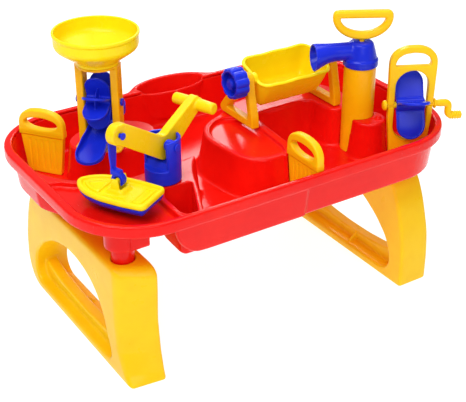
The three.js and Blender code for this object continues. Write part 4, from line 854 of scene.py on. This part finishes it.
# ------------------------------------------------------------------ hand wheel
def make_wheel():
    o = (WHEEL[0], WHEEL[1], 0)
    line = [(-29, 213.3), (29, 213.3), (35, 276), (36.5, 303), (38, 371), (37.4, 380), (34, 388.5), (26, 396), (12, 401.5), (-12, 401.5), (-26, 396), (-34, 388.5), (-37.4, 380), (-38, 371), (-36.5, 303), (-35, 276)]
    stad = arc(0, 335.5, 26.5, 0, 180, 24) + arc(0, 269.5, 26.5, 180, 360, 24)
    grip = [(-27, 369), (27, 369), (28.5, 374), (25, 383), (15, 389.5), (0, 391.5), (-15, 389.5), (-25, 383), (-28.5, 374)]
    g = Grid((-38, 213.3, -6), (38, 401.5, 6), 0.9, o, WD, Z)
    x, y, z = g.x, g.y, g.z
    f = rmax(g.flat(rounded(line, [2, 2, 8, 8, 6, 6, 6, 6, 8, 8, 6, 6, 6, 6, 8, 8])), np.abs(z) - 6, 1.9)
    f = rmax(f, -(poly2(stad, x, y) + 0 * z), 1.7)
    f = rmax(f, -(g.flat(rounded(grip, 4)) + 0 * z), 2.2)
    f = rmax(f, -(np.hypot(y - 303, z) - 5.4 + 0 * x), 0.6)
    skin("wheel_stand", g, f, "table", ["wheel_frame"], M["leg"])
    blade_wheel("water_wheel", WHEEL, (0.448, 0.894, 0), 4, 61, 56, 46, 10, 5.3, 3.2, 8, 2.0, 0.9, "hand_wheel", "paddle_wheel")
    # crank: axle, bend and ribbed grip
    g = Grid((-37, -30, -8.2), (86, 8.2, 8.2), 0.65, WHEEL, WD, Z)
    x, y, z = g.x, g.y, g.z
    path = np.array([(-37, 0), (56.5, 0)] + [(56.5 + 7 * math.sin(t), -7 + 7 * math.cos(t)) for t in np.linspace(0.2, math.pi / 2, 7)] +
                    [(63.5 + 7 - 7 * math.cos(t), -15 - 7 * math.sin(t)) for t in np.linspace(0.1, math.pi / 2, 7)] + [(82, -22)], float)
    dl = np.hypot(line2(path, x, y), z).astype(F)
    thick = 5.0 + 0.9 * np.clip((x - 43) / 6, 0, 1) * np.clip((70 - x) / 3, 0, 1)
    f = rmax(dl - thick, -37 - x, 0.6)
    f = rmin(f, rmax(np.hypot(y, z).astype(F) - 8 + 0 * x, slab(x, 38.4, 41.2), 0.9), 0.7)
    gr = np.hypot(y + 22, z).astype(F)
    ribs = 0.55 * np.cos((x - 67.5) * (2 * math.pi / 4.1)) * np.clip((x - 67) / 2, 0, 1) * np.clip((GRIP_END - 0.5 - x) / 2, 0, 1)
    f = rmin(f, rmax(gr - 6.3 - ribs, slab(x, 66.5, GRIP_END), 1.2), 0.6)
    skin("crank_handle", g, f, "hand_wheel", ["crank"], M["leg"])
    turned("crank_cap", [(0, -44), (5.5, -44, 1.2), (8, -42, 1.2), (8, -38.3, 0.6), (0, -38.3)], WHEEL, WD, "hand_wheel", ["crank_end_cap"], M["leg"], 48)


# ------------------------------------------------------------------ sluice gates
def make_gates():
    line = [(-29, 213.3), (29, 213.3), (37, 278), (39, 292), (37.6, 303), (32, 312), (22, 318), (8, 320.5), (-8, 320.5), (-22, 318), (-32, 312), (-37.6, 303), (-39, 292), (-37, 278)]
    grip = oval(0, 298, 28.5, 10, 48)
    for name, at, U, body in (("gate_right", (36, -157, 0), (0, 1, 0), "gate_right_body"), ("gate_left", (-251, 137.5, 0), (0.6, -0.8, 0), "gate_left_body")):
        g = Grid((-39, 213.3, -6.2), (39, 320.5, 6.2), 0.75, at, U, Z)
        x, y, z = g.x, g.y, g.z
        d = g.flat(rounded(line, [3, 3, 8, 8, 8, 8, 8, 8, 8, 8, 8, 8, 8, 8]))
        hole = g.flat(grip)
        flute = 0.9 * np.clip(np.cos(x * (2 * math.pi / 10.5)), 0, 1) ** 1.5 * np.clip((272 - y) / 4, 0, 1) * np.clip((y - 219) / 4, 0, 1) * np.clip((30 - np.abs(x)) / 3, 0, 1)
        plate = rmax(d, np.abs(z) - 4.5 + flute, 1.4)
        top = rmax(rmax(d, 281 - y, 2), np.abs(z) - 6.2, 2.6)
        collar = rmax(rmax(np.abs(x) - 38.6, slab(y, 277.5, 288), 1.5), np.abs(z) - 6.2, 1.3)
        f = rmin(rmin(plate, top, 1.0), collar, 1.0)
        f = rmax(f, -(hole + 0 * z), 2.4)
        f = np.maximum(f, np.abs(x) - 39)
        skin(name + "_panel", g, f, body, [name], M["leg"])


make_tub()
make_legs()
make_mill()
make_crane()
make_tipper()
make_pump()
make_wheel()
make_gates()
print("faces", sum(FACES.values()), FACES)


# ------------------------------------------------------------------ stage, light and camera
def stage():
    me = bpy.data.meshes.new("floor")
    s = 14.0
    me.from_pydata([(-s, -s, 0), (s, -s, 0), (s, s, 0), (-s, s, 0)], [], [(0, 1, 2, 3)])
    floor = bpy.data.objects.new("floor", me)
    bpy.context.scene.collection.objects.link(floor)
    m = bpy.data.materials.new("paper")
    m.use_nodes = True
    nt = m.node_tree
    b = nt.nodes["Principled BSDF"]
    n = nt.nodes.new("ShaderNodeTexNoise")
    n.inputs["Scale"].default_value = 3.0
    r = nt.nodes.new("ShaderNodeMapRange")
    r.inputs["To Min"].default_value, r.inputs["To Max"].default_value = 0.34, 0.36
    c = nt.nodes.new("ShaderNodeCombineColor")
    nt.links.new(n.outputs["Fac"], r.inputs["Value"])
    for k in range(3):
        nt.links.new(r.outputs[0], c.inputs[k])
    nt.links.new(c.outputs[0], b.inputs["Base Color"])
    b.inputs["Roughness"].default_value = 0.85
    b.inputs["Specular IOR Level"].default_value = 0.1
    b.inputs["Emission Color"].default_value = (1.0, 1.0, 1.0, 1)
    b.inputs["Emission Strength"].default_value = 0.9
    me.materials.append(m)

    w = bpy.data.worlds.new("studio")
    bpy.context.scene.world = w
    w.use_nodes = True
    nt = w.node_tree
    nt.nodes.clear()
    out = nt.nodes.new("ShaderNodeOutputWorld")
    bg = nt.nodes.new("ShaderNodeBackground")
    tc = nt.nodes.new("ShaderNodeTexCoord")
    sx = nt.nodes.new("ShaderNodeSeparateXYZ")
    cr = nt.nodes.new("ShaderNodeValToRGB")
    nt.links.new(tc.outputs["Generated"], sx.inputs[0])
    nt.links.new(sx.outputs["Z"], cr.inputs[0])
    e = cr.color_ramp.elements
    e[0].position, e[0].color = 0.0, (0.50, 0.50, 0.51, 1)
    e[1].position, e[1].color = 0.8, (1.0, 1.0, 1.0, 1)
    nt.links.new(cr.outputs[0], bg.inputs["Color"])
    bg.inputs["Strength"].default_value = 0.5
    nt.links.new(bg.outputs[0], out.inputs[0])

    def area(name, loc, target, size, power, colour=(1, 1, 1)):
        l = bpy.data.lights.new(name, "AREA")
        l.shape = "RECTANGLE"
        l.size, l.size_y = size
        l.energy = power
        l.color = colour
        ob = bpy.data.objects.new(name, l)
        ob.location = loc
        ob.rotation_euler = (Vector(target) - Vector(loc)).to_track_quat("-Z", "Y").to_euler()
        bpy.context.scene.collection.objects.link(ob)

    area("key", (-1.1, -0.6, 1.9), (0, 0, 0.2), (1.2, 1.0), 22, (1, 0.995, 0.98))
    area("top", (0.4, 0.6, 2.2), (0, 0, 0.2), (1.8, 1.2), 22)
    area("glint", (1.15, 1.75, 1.4), (0, 0, 0.27), (0.55, 0.45), 5.5)
    area("fill", (-0.7, -2.2, 1.5), (0, 0, 0.25), (1.6, 1.2), 16)

    cam = bpy.data.cameras.new("view")
    ob = bpy.data.objects.new("view", cam)
    bpy.context.scene.collection.objects.link(ob)
    ob.location = (-0.813390 + SHIFT[0] / 1000, -1.27286 + SHIFT[1] / 1000, 1.00203)
    ob.rotation_euler = Vector((0.4731, 0.7306, -0.4923)).to_track_quat("-Z", "Y").to_euler()
    cam.lens = 82.34
    cam.sensor_width = 36
    cam.clip_end = 60
    bpy.context.scene.camera = ob
    bpy.context.scene.view_settings.view_transform = "Standard"
    bpy.context.scene.view_settings.look = "None"


stage()
